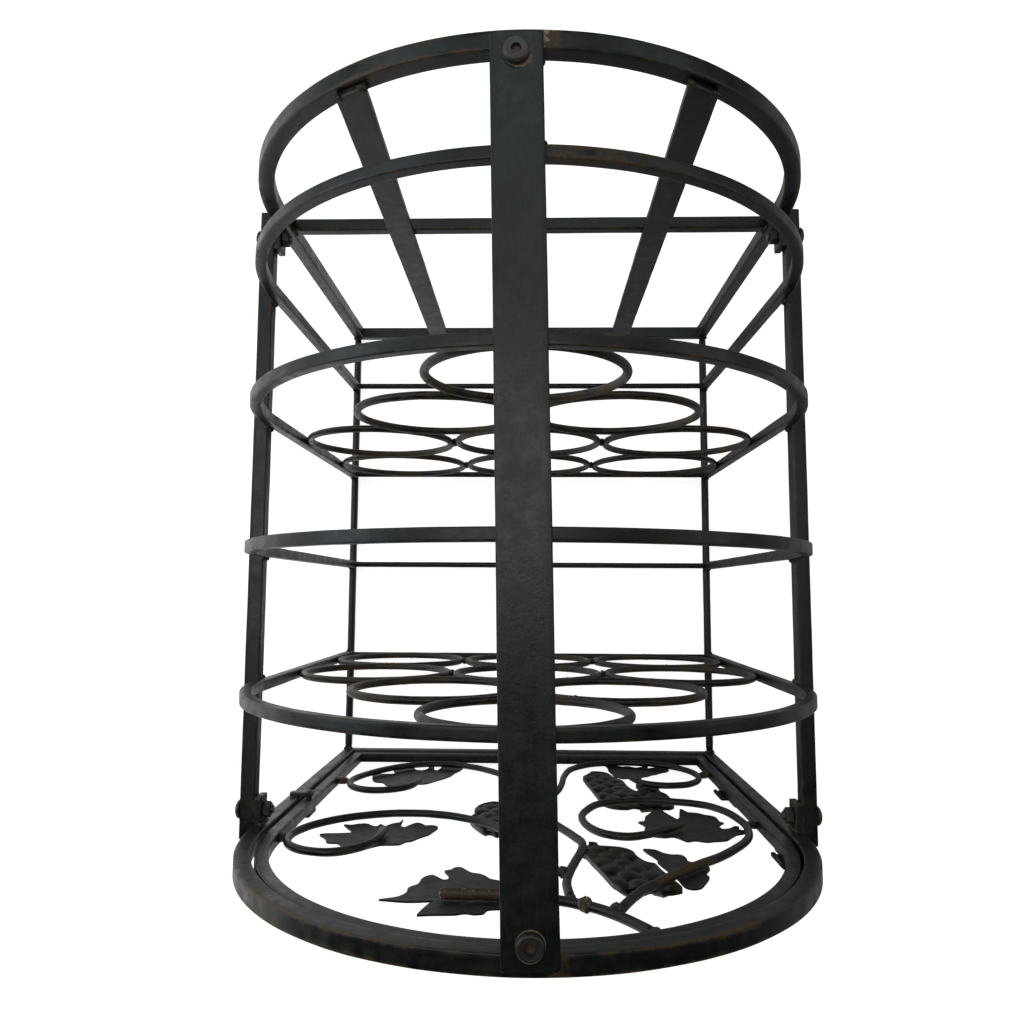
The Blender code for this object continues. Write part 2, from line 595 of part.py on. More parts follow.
def fixed_pieces(paint):
    end_frame("back_frame", 1, paint["bar"])
    back_crossbar(paint["bar"])
    back_slats(paint["bar"])
    for number, y in enumerate(HOOP_Y, start=1):
        hoop(f"hoop_{number}", y, paint["bar"])
    for index, label in zip(RING_HOOPS, ("rear", "front")):
        bottle_rings(index, label, paint["wire"])
    ridge_bar(paint["bar"])
    ridge_bolt("ridge_bolt_back", RIDGE_BOLT_Y, paint["bolt"])
    ridge_bolt("ridge_bolt_front", -RIDGE_BOLT_Y, paint["bolt"])
    for label, side in (("left", LEFT), ("right", RIGHT)):
        side_rail(f"side_rail_{label}", side, paint["bar"])
        base_rail(f"base_rail_{label}", side, paint["wire"])
        rail_bolt(f"rail_bolt_{label}_front", side, -RAIL_BOLT_Y, paint["bolt"])
        rail_bolt(f"rail_bolt_{label}_back", side, RAIL_BOLT_Y, paint["bolt"])
    end_frame("front_frame", -1, paint["bar"])
    for label, z in zip(("lower", "upper"), HINGE_Z):
        hinge_pintle(f"{label}_hinge_pintle", z, paint["bar"])


def door_pieces(paint):
    door_frame(paint["bar"])
    door_panel(paint)
    for label, z in zip(("lower", "upper"), HINGE_Z):
        hinge_barrel(f"{label}_hinge_barrel", z, paint["bar"])


def main():
    clear_scene()
    paint = make_materials()
    fixed_pieces(paint)
    rack = hang("rack_pivot", (0, 0, 0))
    door_pieces(paint)
    door = hang("door_pivot", (HINGE_X, HINGE_Y, 0), rack)
    latch_turn(paint["bolt"])
    hang("latch_pivot", (LATCH_X, DOOR_Y, LATCH_Z), door)
    rack.location.y = RACK_SHIFT


main()
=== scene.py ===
"""The looks of an arched wrought-iron wine rack with a hinged grapevine door."""
import json
import math

import bmesh
import bpy
from mathutils import Matrix, Vector, geometry, kdtree, noise


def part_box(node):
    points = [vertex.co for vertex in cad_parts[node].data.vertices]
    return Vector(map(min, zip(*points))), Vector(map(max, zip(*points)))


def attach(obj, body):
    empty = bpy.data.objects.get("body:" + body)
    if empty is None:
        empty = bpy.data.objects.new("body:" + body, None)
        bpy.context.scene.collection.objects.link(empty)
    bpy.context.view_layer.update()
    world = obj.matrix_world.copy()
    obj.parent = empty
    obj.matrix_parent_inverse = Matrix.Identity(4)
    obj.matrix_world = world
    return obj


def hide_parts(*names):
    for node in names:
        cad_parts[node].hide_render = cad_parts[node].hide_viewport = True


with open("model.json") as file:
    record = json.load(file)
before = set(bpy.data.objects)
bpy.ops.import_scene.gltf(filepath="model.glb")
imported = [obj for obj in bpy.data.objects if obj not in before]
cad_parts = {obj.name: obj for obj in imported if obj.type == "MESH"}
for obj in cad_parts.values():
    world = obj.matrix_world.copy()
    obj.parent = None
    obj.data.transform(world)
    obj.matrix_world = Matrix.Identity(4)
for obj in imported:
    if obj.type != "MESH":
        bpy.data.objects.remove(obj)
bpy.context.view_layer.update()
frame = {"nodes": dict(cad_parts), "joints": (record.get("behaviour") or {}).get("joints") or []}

noise.seed_set(5)  # the same unevenness in every run
MM = 0.001

# ---- sizes read from the model ----
FRONT_LOW, FRONT_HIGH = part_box("front_frame")
DOOR_LOW, DOOR_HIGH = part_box("door_frame")
HALF_WIDTH = FRONT_HIGH.x
CROWN = FRONT_HIGH.z
SPRING = CROWN - HALF_WIDTH  # height at which the arches' legs begin to bend
DOOR_Y = (DOOR_LOW.y + DOOR_HIGH.y) / 2
PLATE_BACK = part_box("left_leaf")[1].y

# ---- sizes and finish of the pieces ----
FRAME_BAR = 8.5 * MM
HOOP_BAR = 6 * MM
DOOR_BAR = 7 * MM
RING_WIRE = 2.2 * MM
BASE_WIRE = 2.25 * MM
VINE = 2.25 * MM
OUT_OF_ROUND = 0.25 * MM  # how far a bottle ring strays from a circle
FORGED = 0.1 * MM  # usual unevenness of a bar or wire
RIDGE_WIDTH = 22 * MM
RIDGE_X = -0.45 * MM  # middle of the ridge bar, which lies a little askew
RIDGE_TURN = math.radians(1.1)
ARC_STEPS = 120  # points along an arch, its bottom bar and its legs
BOTTOM_STEPS = 44
LEG_STEP = 6 * MM
ROW_PITCH = 0.87  # row height over spacing in a staggered grid
SHARP_TURN = 95  # degrees above which an outline keeps its point
FLAT_WEAR_AND_GLINT = 0.25  # wear on a bar's faces, against 1 on its corners, where the rubbed brown is worn paint and also a painted highlight along the edges

HOOPS = ("hoop_1", "hoop_2", "hoop_3", "hoop_4")
SLATS = ("left", "center", "right")
UP = Vector((0, 0, 1))
DEPTH = Vector((0, 1, 0))
ACROSS = Vector((1, 0, 0))


# ---- painted-iron materials ----
class Nodes:
    """A small helper that adds linked shader nodes to one material."""

    def __init__(self, name):
        self.material = bpy.data.materials.new(name)
        self.material.use_nodes = True
        self.tree = self.material.node_tree
        self.shader = self.tree.nodes["Principled BSDF"]

    def link(self, source, target):
        if isinstance(source, bpy.types.NodeSocket):
            self.tree.links.new(source, target)
        else:
            target.default_value = source

    def add(self, kind, inputs=None, **settings):
        """A new node; each of its inputs takes a value or another node's output."""
        node = self.tree.nodes.new(kind)
        for key, value in settings.items():
            setattr(node, key, value)
        for key, value in (inputs or {}).items():
            self.link(value, node.inputs[key])
        return node

    def place(self, stretch=(1, 1, 1)):
        """Object coordinates in metres, stretched along the axes."""
        where = self.add("ShaderNodeTexCoord").outputs["Object"]
        inputs = {"Vector": where, "Scale": stretch}
        return self.add("ShaderNodeMapping", inputs).outputs["Vector"]

    def cloud(self, where, scale, detail=5, rough=0.55):
        """Noise between 0 and 1."""
        inputs = {"Vector": where, "Scale": scale, "Detail": detail, "Roughness": rough}
        return self.add("ShaderNodeTexNoise", inputs).outputs["Fac"]

    def ramp(self, value, low, high):
        """0 below low, 1 above high, smooth between them."""
        inputs = {"Value": value, "From Min": low, "From Max": high}
        node = self.add("ShaderNodeMapRange", inputs, interpolation_type="SMOOTHSTEP")
        return node.outputs["Result"]

    def spread(self, value, low, high):
        """A 0 to 1 value spread from low to high."""
        inputs = {"Value": value, "To Min": low, "To Max": high}
        return self.add("ShaderNodeMapRange", inputs).outputs["Result"]

    def math(self, operation, first, second):
        return self.add("ShaderNodeMath", {0: first, 1: second}, operation=operation).outputs[0]

    def plus(self, first, second):
        return self.math("ADD", first, second)

    def times(self, first, second):
        return self.math("MULTIPLY", first, second)

    def swing(self, value, amount):
        """A 0 to 1 value as a swing about zero, amount high in all."""
        return self.times(self.math("SUBTRACT", value, 0.5), amount)

    def mix(self, factor, first, second):
        node = self.add("ShaderNodeMix", data_type="RGBA")
        self.link(factor, node.inputs["Factor"])
        for value, slot in ((first, "A"), (second, "B")):
            socket = [s for s in node.inputs if s.name == slot and s.type == "RGBA"][0]
            self.link(value if isinstance(value, bpy.types.NodeSocket) else (*value, 1), socket)
        return [s for s in node.outputs if s.type == "RGBA"][0]

    def bump(self, height, strength, distance, below=None):
        inputs = {"Strength": strength, "Distance": distance, "Height": height}
        if below:
            inputs["Normal"] = below
        return self.add("ShaderNodeBump", inputs).outputs["Normal"]


RUB_SPAN = 0.7  # wear between the first brown and full brown
CHIP_SPAN = 0.14  # wear between the first chip and bare metal
BARE_METAL = (0.36, 0.29, 0.19)


def painted_iron(name, dark, light, rub, rub_low, chip_low, rough, streaks=0.0, pits=0.5):
    """Brushed black paint, rubbed brown where wear is high, with a few bare chips."""
    n = Nodes(name)
    where = n.place()
    wear = n.add("ShaderNodeAttribute", attribute_name="wear").outputs["Fac"]
    broad = n.cloud(where, 26, 4)
    middle = n.cloud(where, 130, 6, 0.62)
    fine = n.cloud(where, 620, 5, 0.6)
    grain = n.cloud(n.place((9, 1, 9)), 150, 5, 0.6)
    tone = n.plus(n.times(broad, 0.6), n.times(middle, 0.4))
    colour = n.mix(n.ramp(tone, 0.36, 0.64), dark, light)
    if streaks:
        streak = n.times(n.ramp(grain, 0.45, 0.7), streaks)
        colour = n.mix(streak, colour, tuple(1.9 * part for part in light))
    worn = n.plus(n.plus(wear, n.swing(middle, 2.2)), n.swing(broad, 1.6))
    rubbed = n.ramp(worn, rub_low, rub_low + RUB_SPAN)
    brown = n.mix(n.ramp(fine, 0.35, 0.65), tuple(0.55 * part for part in rub), rub)
    colour = n.mix(n.times(rubbed, 0.85), colour, brown)
    flake = n.plus(n.plus(wear, n.swing(fine, 1.5)), n.swing(middle, 2.4))
    chipped = n.ramp(flake, chip_low, chip_low + CHIP_SPAN)
    n.link(n.mix(chipped, colour, BARE_METAL), n.shader.inputs["Base Color"])
    gloss = n.spread(n.ramp(n.plus(middle, n.times(fine, 0.3)), 0.4, 0.85), *rough)
    gloss = n.plus(gloss, n.times(rubbed, 0.12))
    n.link(n.plus(gloss, n.times(chipped, 0.2)), n.shader.inputs["Roughness"])
    height = n.math("SUBTRACT", n.times(middle, 0.7), n.times(chipped, 0.25))
    lumps = n.bump(height, 0.35, 0.5 * MM)
    pores = n.bump(n.plus(fine, n.times(grain, streaks)), pits, 0.12 * MM, lumps)
    n.link(pores, n.shader.inputs["Normal"])
    return n.material


BLACK = (0.0050, 0.0063, 0.0063)
SLATE = (0.0132, 0.0160, 0.0158)
RUST = (0.100, 0.062, 0.024)
# Bar paint: its low rub threshold turns the worn corners brown, which also serves as a painted
# highlight along the edges.
BARS = painted_iron("bars_paint", BLACK, SLATE, RUST, 0.78, 2.35, (0.27, 0.46))
RIDGE = painted_iron("ridge_paint", BLACK, SLATE, RUST, 1.05, 2.2, (0.28, 0.42), streaks=0.35)
WIRES = painted_iron("wire_paint", BLACK, SLATE, (0.085, 0.053, 0.018), 0.66, 2.5, (0.27, 0.45))
LEAVES = painted_iron(
    "leaf_paint", (0.0100, 0.0110, 0.0098), (0.022, 0.0235, 0.0205), RUST, 1.3, 2.4, (0.38, 0.55))
# Grape paint: the near-black between the bosses is painted shade in the grooves; the olive-brown
# rub on the boss tops is wear and also a painted highlight.
GRAPES_WITH_PAINTED_SHADE = painted_iron(
    "grape_paint", (0.0030, 0.0030, 0.0024), (0.0100, 0.0092, 0.0062), (0.075, 0.056, 0.018),
    0.60, 2.4, (0.26, 0.42))
BOLTS = painted_iron(
    "bolt_paint", (0.022, 0.022, 0.021), (0.052, 0.050, 0.046), RUST, 1.1, 1.9, (0.30, 0.45))
SCREWS = painted_iron(
    "screw_paint", (0.050, 0.050, 0.048), (0.095, 0.094, 0.089), (0.230, 0.085, 0.024),
    1.35, 3.2, (0.28, 0.42))
# A darker copy of the screw paint: painted shade for the bolt at the front end, which lies in
# shadow.
SCREWS_IN_PAINTED_SHADE = painted_iron(
    "dark_screw_paint", (0.022, 0.021, 0.018), (0.046, 0.042, 0.035), (0.160, 0.070, 0.022),
    1.35, 3.2, (0.30, 0.45))
CHIPS = painted_iron(
    "chip_paint", (0.16, 0.13, 0.09), (0.34, 0.28, 0.20), (0.30, 0.22, 0.13), 0.6, 3.5, (0.5, 0.7))
WELDS = painted_iron(
    "weld_paint", (0.012, 0.011, 0.010), (0.032, 0.027, 0.020), (0.120, 0.076, 0.032),
    0.8, 1.8, (0.34, 0.55), pits=0.8)


# ---- mesh building ----
def uneven(point, amount, size):
    """Forged unevenness: a smooth shift of up to about amount, wandering over size."""
    return noise.noise_vector(point / size) * amount


def around(radius, angle, along=0.0):
    """The point at an angle round the Z axis."""
    return Vector((radius * math.cos(angle), radius * math.sin(angle), along))


def middle_of(node):
    low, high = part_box(node)
    return (low + high) / 2


def new_object(name, data):
    thing = bpy.data.objects.new(name, data)
    bpy.context.scene.collection.objects.link(thing)
    return thing


class Shape:
    """Gathers closed shells, with a wear value at each point, into one piece."""

    def __init__(self):
        self.points, self.faces, self.wear = [], [], []

    def rings(self, rings, wear, closed=False):
        """Skin equal rings of points; the last joins the first or both ends are capped."""
        start, size, count = len(self.points), len(rings[0]), len(rings)
        for number, ring in enumerate(rings):
            self.points.extend(ring)
            self.wear.extend(wear[number] if isinstance(wear[0], (list, tuple)) else wear)
        for i in range(count if closed else count - 1):
            here, there = start + i * size, start + (i + 1) % count * size
            for k in range(size):
                after = (k + 1) % size
                self.faces.append((here + k, here + after, there + after, there + k))
        if not closed:
            self.faces.append(tuple(range(start, start + size)))
            self.faces.append(tuple(range(start + (count - 1) * size, start + count * size)))

    def rub(self, spots):
        """Raise the wear around spots: (x, y, z) and reach in millimetres, and extra wear."""
        for spot, reach, amount in spots:
            centre = Vector(spot) * MM
            for number, point in enumerate(self.points):
                near = 1 - (point - centre).length / (reach * MM)
                if near > 0:
                    self.wear[number] += amount * near ** 0.5

    def piece(self, name, material, body, replaces=(), smooth_angle=35):
        mesh = bpy.data.meshes.new(name)
        mesh.from_pydata([tuple(p) for p in self.points], [], self.faces)
        shape = bmesh.new()
        shape.from_mesh(mesh)
        bmesh.ops.recalc_face_normals(shape, faces=shape.faces)
        shape.to_mesh(mesh)
        shape.free()
        mesh.attributes.new("wear", "FLOAT", "POINT").data.foreach_set("value", self.wear)
        mesh.shade_smooth()
        mesh.set_sharp_from_angle(angle=math.radians(smooth_angle))
        mesh.materials.append(material)
        thing = new_object(name, mesh)
        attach(thing, body)
        if replaces:
            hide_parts(*replaces)

    def bar_piece(self, node, ending, body="rack"):
        self.piece(node + ending, BARS, body, (node,))


def square_profile(corner):
    """(u, v, wear) around a unit square with rounded corners, worn at the corners; the brown
    rubbed there is real wear and also a painted edge highlight.
    """
    low, high = corner, 1 - corner
    arcs = []
    for turn, (u, v) in enumerate(((high, high), (low, high), (low, low), (high, low))):
        angles = [math.pi / 2 * (turn + step / 3) for step in range(4)]
        arcs.append([(u + corner * math.cos(a), v + corner * math.sin(a)) for a in angles])
    points = []
    for arc, following in zip(arcs, arcs[1:] + arcs[:1]):
        points += [(u, v, 1.0) for u, v in arc]
        (last_u, last_v), (next_u, next_v) = arc[-1], following[0]
        for part in (0.25, 0.5, 0.75):
            points.append((last_u + (next_u - last_u) * part, last_v + (next_v - last_v) * part,
                           FLAT_WEAR_AND_GLINT))
    return points


def arch_line(half, foot, legs):
    """Points (x, z) from the left foot over the crown to the right foot."""
    points = [(-half, foot + (SPRING - foot) * i / legs) for i in range(legs)]
    for step in range(ARC_STEPS + 1):
        angle = math.pi * (1 - step / ARC_STEPS)
        points.append((half * math.cos(angle), SPRING + half * math.sin(angle)))
    points += [(half, SPRING - (SPRING - foot) * i / legs) for i in range(1, legs + 1)]
    return points


def bottom_line(half, foot):
    """Points (x, z) strictly between the right foot and the left foot."""
    return [(half - 2 * half * i / BOTTOM_STEPS, foot) for i in range(1, BOTTOM_STEPS)]


def arch_bar(shape, half, foot, bar, y_low, y_high, closed, corner=0.075):
    """A square bar bent over the arch; closed ones have a bottom bar mitred in."""
    legs = round((SPRING - foot) / LEG_STEP)
    outer = arch_line(half, foot, legs)
    inner_foot = foot + bar if closed else foot
    inner = arch_line(half - bar, inner_foot, legs)
    if closed:
        outer += bottom_line(half, foot)
        inner += bottom_line(half - bar, inner_foot)
    profile = square_profile(corner)
    rings = []
    for (ox, oz), (ix, iz) in zip(outer, inner):
        ring = []
        for u, v, _ in profile:
            y = y_low + (y_high - y_low) * v
            point = Vector((ox + (ix - ox) * u, y, oz + (iz - oz) * u))
            ring.append(point + uneven(point, FORGED, 22 * MM))
        rings.append(ring)
    shape.rings(rings, [w for _, _, w in profile], closed)


def bar(shape, start, end, width, depth, side, corner, end_wear, step=5 * MM, amount=FORGED):
    """A straight bar with bevelled ends; width lies along side, depth across it."""
    start, end = Vector(start), Vector(end)
    way = (end - start).normalized()
    length = (end - start).length
    across = way.cross(side)
    count = max(2, round(length / step))
    profile = square_profile(corner)
    bevel = min(corner * width, corner * depth)
    bevelled = [(0, bevel), (bevel * 0.3, bevel * 0.3), (bevel, 0)]
    places = bevelled + [(bevel + (length - 2 * bevel) * i / count, 0) for i in range(1, count)]
    places += [(length - at, shrink) for at, shrink in reversed(bevelled)]
    rings, wears = [], []
    for at, shrink in places:
        ring = []
        for u, v, _ in profile:
            point = start + way * at
            point += side * (u - 0.5) * (width - 2 * shrink)
            point += across * (v - 0.5) * (depth - 2 * shrink)
            ring.append(point + uneven(point, amount, 20 * MM))
        rings.append(ring)
        near_end = min(at, length - at) < 2 * MM
        wears.append([max(w, end_wear) if near_end else w for _, _, w in profile])
    shape.rings(rings, wears)


def box_bar(shape, low, high, along, *finish, **more):
    """A bar that fills the box from low to high, its length along axis number along."""
    start = (low + high) / 2
    end = start.copy()
    start[along], end[along] = low[along], high[along]
    size = high - low
    side = 0 if along else 1
    bar(shape, start, end, size[side], size[3 - along - side], (ACROSS, DEPTH)[side],
        *finish, **more)


def per_point(value, count):
    """A list of values; a single number is repeated."""
    return value if isinstance(value, (list, tuple)) else [value] * count


def tube(shape, path, radius, wear, flat=DEPTH, sides=14, closed=False, amount=FORGED,
         squash=1.0):
    """A round wire along a path; radius, wear and squash may hold one value per point."""
    count = len(path)
    radii, wears, squashes = (per_point(value, count) for value in (radius, wear, squash))
    rings = []
    for i, place in enumerate(path):
        if closed:
            way = path[(i + 1) % count] - path[i - 1]
        else:
            way = path[min(i + 1, count - 1)] - path[max(i - 1, 0)]
        way.normalize()
        side = way.cross(flat).normalized()
        out = side.cross(way)
        ring = []
        for k in range(sides):
            angle = math.tau * k / sides
            point = place + side * radii[i] * math.cos(angle) / squashes[i] ** 0.5
            point += out * radii[i] * squashes[i] * math.sin(angle)
            ring.append(point + uneven(point, amount, 9 * MM))
        rings.append(ring)
    shape.rings(rings, [[local] * sides for local in wears], closed)


def round_ends(path, radius):
    """A path and radii whose two ends are rounded off, one wire radius long."""
    steps = 4
    first, last = (path[0] - path[1]).normalized(), (path[-1] - path[-2]).normalized()
    fronts, backs = [], []
    for step in range(steps, 0, -1):
        angle = math.pi / 2 * step / (steps + 0.3)
        out, thin = radius * (math.sin(angle) - 0.9), radius * math.cos(angle)
        fronts.append((path[0] + first * out, thin))
        backs.insert(0, (path[-1] + last * out, thin))
    kept = [(p, radius) for p in path[1:-1]
            if min((p - path[0]).length, (p - path[-1]).length) > radius]
    ends = fronts + kept + backs
    return [p for p, _ in ends], [r for _, r in ends]


def blob(shape, centre, radii, seed, wear, rough=0.3, rows=9, sides=14):
    """A lumpy bead of weld metal."""
    centre = Vector(centre)
    rings = []
    for row in range(rows):
        polar = math.pi * (row + 0.5) / rows
        ring = []
        for k in range(sides):
            way = around(math.sin(polar), math.tau * k / sides, math.cos(polar))
            swell = 1 + rough * noise.noise(way * 1.9 + Vector((seed * 3.7, seed, -seed)))
            ring.append(centre + Vector([way[i] * radii[i] * swell for i in range(3)]))
        rings.append(ring)
    shape.rings(rings, [wear] * sides)


def bead_line(shape, start, end, radius, seed):
    """A weld seam: overlapping beads from start to end."""
    start, end = Vector(start), Vector(end)
    count = max(1, round((end - start).length / (2.2 * MM)))
    for i in range(count + 1):
        stretch = 0.85 + 0.2 * noise.noise(Vector((seed, i * 1.7, 0)))
        blob(shape, start.lerp(end, i / count), (radius, radius, radius * stretch), seed + i, 0.9,
             rows=7, sides=10)


def from_mm(rows, base):
    """Profile rows (radius, height above base), given in millimetres."""
    return [(radius * MM, base + height * MM) for radius, height in rows]


def lathe(shape, origin, axis, profile, sides, wear, hexagon=(), hex_turn=0.0):
    """A turned solid; rows whose numbers are in hexagon are six-sided."""
    origin = Vector(origin)
    turn = axis.to_track_quat("Z", "Y").to_matrix()
    rings = []
    for row, (radius, along) in enumerate(profile):
        ring = []
        for k in range(sides):
            angle = math.tau * k / sides
            size = max(radius, 0.02 * MM)
            if row in hexagon:
                size /= math.cos((angle + hex_turn) % (math.pi / 3) - math.pi / 6)
            ring.append(origin + turn @ around(size, angle, along))
        rings.append(ring)
    shape.rings(rings, [[local] * sides for local in wear])


class Rim:
    """A closed (x, z) outline that knows what lies inside it and how far its edge is."""

    def __init__(self, outline):
        self.corners = [Vector(p) for p in outline]
        spots = []
        for number, here in enumerate(self.corners):
            before = self.corners[number - 1]
            parts = max(1, round((here - before).length / (0.2 * MM)))
            spots += [before.lerp(here, i / parts) for i in range(parts)]
        self.tree = kdtree.KDTree(len(spots))
        for number, spot in enumerate(spots):
            self.tree.insert((spot.x, spot.y, 0), number)
        self.tree.balance()

    def distance(self, spot):
        return self.tree.find((spot.x, spot.y, 0))[2]

    def holds(self, spot):
        crossings = False
        for number, here in enumerate(self.corners):
            before = self.corners[number - 1]
            if (here.y > spot.y) != (before.y > spot.y):
                across = (before.x - here.x) * (spot.y - here.y) / (before.y - here.y) + here.x
                crossings ^= spot.x < across
        return crossings

    def box(self):
        across, up = zip(*self.corners)
        return Vector((min(across), min(up))), Vector((max(across), max(up)))


def sheet(shape, rim, back, thickness, spacing, wear):
    """Thin metal inside an outline; back(spot) is the y of its rear face."""
    points = list(rim.corners)
    edge_count = len(points)
    low, high = rim.box()
    rise = spacing * ROW_PITCH
    for row in range(int((high.y - low.y) / rise) + 1):
        for column in range(int((high.x - low.x) / spacing) + 2):
            spot = Vector((low.x + (column + row % 2 / 2) * spacing, low.y + row * rise))
            if rim.distance(spot) > 0.45 * spacing and rim.holds(spot):
                points.append(spot)
    flat = geometry.delaunay_2d_cdt(points, [], [list(range(edge_count))], 1, 1e-7)
    spots, triangles, origins = flat[0], flat[2], flat[3]
    number_of = {old: new for new, olds in enumerate(origins) for old in olds}
    start, count = len(shape.points), len(spots)
    rear = [back(spot) for spot in spots]
    worn = [wear(spot) for spot in spots]
    for shift in (0, -thickness):
        shape.points.extend(Vector((spot.x, y + shift, spot.y)) for spot, y in zip(spots, rear))
        shape.wear.extend(worn)
    for triangle in triangles:
        shape.faces.append(tuple(start + i for i in triangle))
        shape.faces.append(tuple(start + count + i for i in reversed(triangle)))
    for k in range(edge_count):
        a, b = start + number_of[k], start + number_of[(k + 1) % edge_count]
        shape.faces.append((a, b, b + count, a + count))


def plate_outline(node):
    """The outline of a flat CAD plate, as (x, z) corners in order."""
    shape = bmesh.new()
    shape.from_mesh(frame["nodes"][node].data)
    bmesh.ops.remove_doubles(shape, verts=shape.verts, dist=0.01 * MM)
    shape.normal_update()
    back = max(v.co.y for v in shape.verts)
    beside = {}
    for edge in shape.edges:
        on_back = all(abs(v.co.y - back) < 0.05 * MM for v in edge.verts)
        if on_back and len({abs(f.normal.y) > 0.9 for f in edge.link_faces}) == 2:
            for here, there in (edge.verts, reversed(edge.verts)):
                beside.setdefault(here.index, []).append(there.index)
    places = {v.index: Vector((v.co.x, v.co.z)) for v in shape.verts}
    shape.free()
    start = min(beside)
    loop, here, previous = [start], start, None
    while True:
        following = [i for i in beside[here] if i != previous][0]
        if following == start:
            return [places[i] for i in loop]
        loop.append(following)
        previous, here = here, following


def hermite(here, there, leave, arrive, t):
    """A point between here and there on a curve with those tangents."""
    return (here * (2 * t ** 3 - 3 * t ** 2 + 1) + leave * (t ** 3 - 2 * t ** 2 + t)
            + there * (3 * t ** 2 - 2 * t ** 3) + arrive * (t ** 3 - t ** 2))


def soften(corners, samples=7):
    """A smooth closed outline through the corners that keeps the pointed tips."""
    count = len(corners)
    pull = []
    for k in range(count):
        here, there = corners[k], corners[(k + 1) % count]
        turn = math.degrees((here - corners[k - 1]).angle(there - here))
        pull.append(0.12 if turn > SHARP_TURN else 1.0 - 0.5 * turn / SHARP_TURN)
    outline = []
    for k in range(count):
        before, here = corners[k - 1], corners[k]
        there, after = corners[(k + 1) % count], corners[(k + 2) % count]
        span = (there - here).length
        leave = (there - before).normalized() * span * pull[k]
        arrive = (after - here).normalized() * span * pull[(k + 1) % count]
        outline += [hermite(here, there, leave, arrive, i / samples) for i in range(samples)]
    return outline


def smooth_path(knots):
    """A Catmull-Rom curve through the knots."""
    points = [2 * knots[0] - knots[1], *knots, 2 * knots[-1] - knots[-2]]
    path = []
    for before, here, there, after in zip(points, points[1:], points[2:], points[3:]):
        leave, arrive = (there - before) / 2, (after - here) / 2
        path += [hermite(here, there, leave, arrive, i / 8) for i in range(8)]
    return path + [knots[-1]]


# ---- end frames, hoops and rings ----
# Places where the paint is rubbed through: (x, y, z), reach (mm) and extra wear.
RUBBED = {
    "back_frame": (((9, 186, 388), 6, 2.6), ((-60, 185, 375), 30, 0.5)),
    "front_frame": (((-155, -178, 40), 45, 0.6), ((-155, -178, 110), 50, 0.5),
                    ((-120, -178, 320), 110, 0.55), ((80, -178, 370), 60, 0.4),
                    ((13, -178, 388), 6, 1.6)),
    "hoop_1": (((17, 137, 388), 14, 0.9), ((36, 137, 384), 14, 0.9)),
    "hoop_4": (((-150, -95, 260), 40, 0.4),),
}


def end_frame(node, outward):
    """A square-bar arch with mitred corners, side lugs and a lug under the crown."""
    low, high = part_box(node)
    face = low.y if outward < 0 else high.y

    def lug(x_low, x_high, z_low, z_high, depth):
        """A bevelled block from inside the bar to a depth behind its face."""
        y_low, y_high = sorted((face - outward * 6 * MM, face - outward * depth))
        box_bar(shape, Vector((x_low, y_low, z_low)), Vector((x_high, y_high, z_high)), 1, 0.1,
                0.9, 2 * MM)

    y_low, y_high = sorted((face, face - outward * FRAME_BAR))
    shape = Shape()
    arch_bar(shape, HALF_WIDTH, 0, FRAME_BAR, y_low, y_high, True)
    rail_z = middle_of("side_rail_left").z
    for side in (-1, 1):
        x_low, x_high = sorted((side * (HALF_WIDTH - 4 * MM), side * HALF_WIDTH))
        lug(x_low, x_high, rail_z - 6 * MM, rail_z + 6 * MM, 24 * MM)
    x = middle_of("ridge_bolt_front" if outward < 0 else "ridge_bolt_back").x
    lug(x - 8 * MM, x + 8 * MM, CROWN - 5 * MM, CROWN - MM, 19.5 * MM)
    shape.rub(RUBBED[node])
    shape.bar_piece(node, "_forged")


def hoop(node):
    """A bar hoop whose feet are tied by a thin wire."""
    low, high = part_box(node)
    shape = Shape()
    arch_bar(shape, HALF_WIDTH, low.z, HOOP_BAR, low.y, high.y, False, 0.10)
    y, z = (low.y + high.y) / 2, low.z + BASE_WIRE + 0.05 * MM
    reach = HALF_WIDTH - HOOP_BAR / 2
    tube(shape, [Vector((reach * (2 * i / 60 - 1), y, z)) for i in range(61)], BASE_WIRE, 0.5)
    shape.rub(RUBBED.get(node, ()))
    shape.bar_piece(node, "_forged")


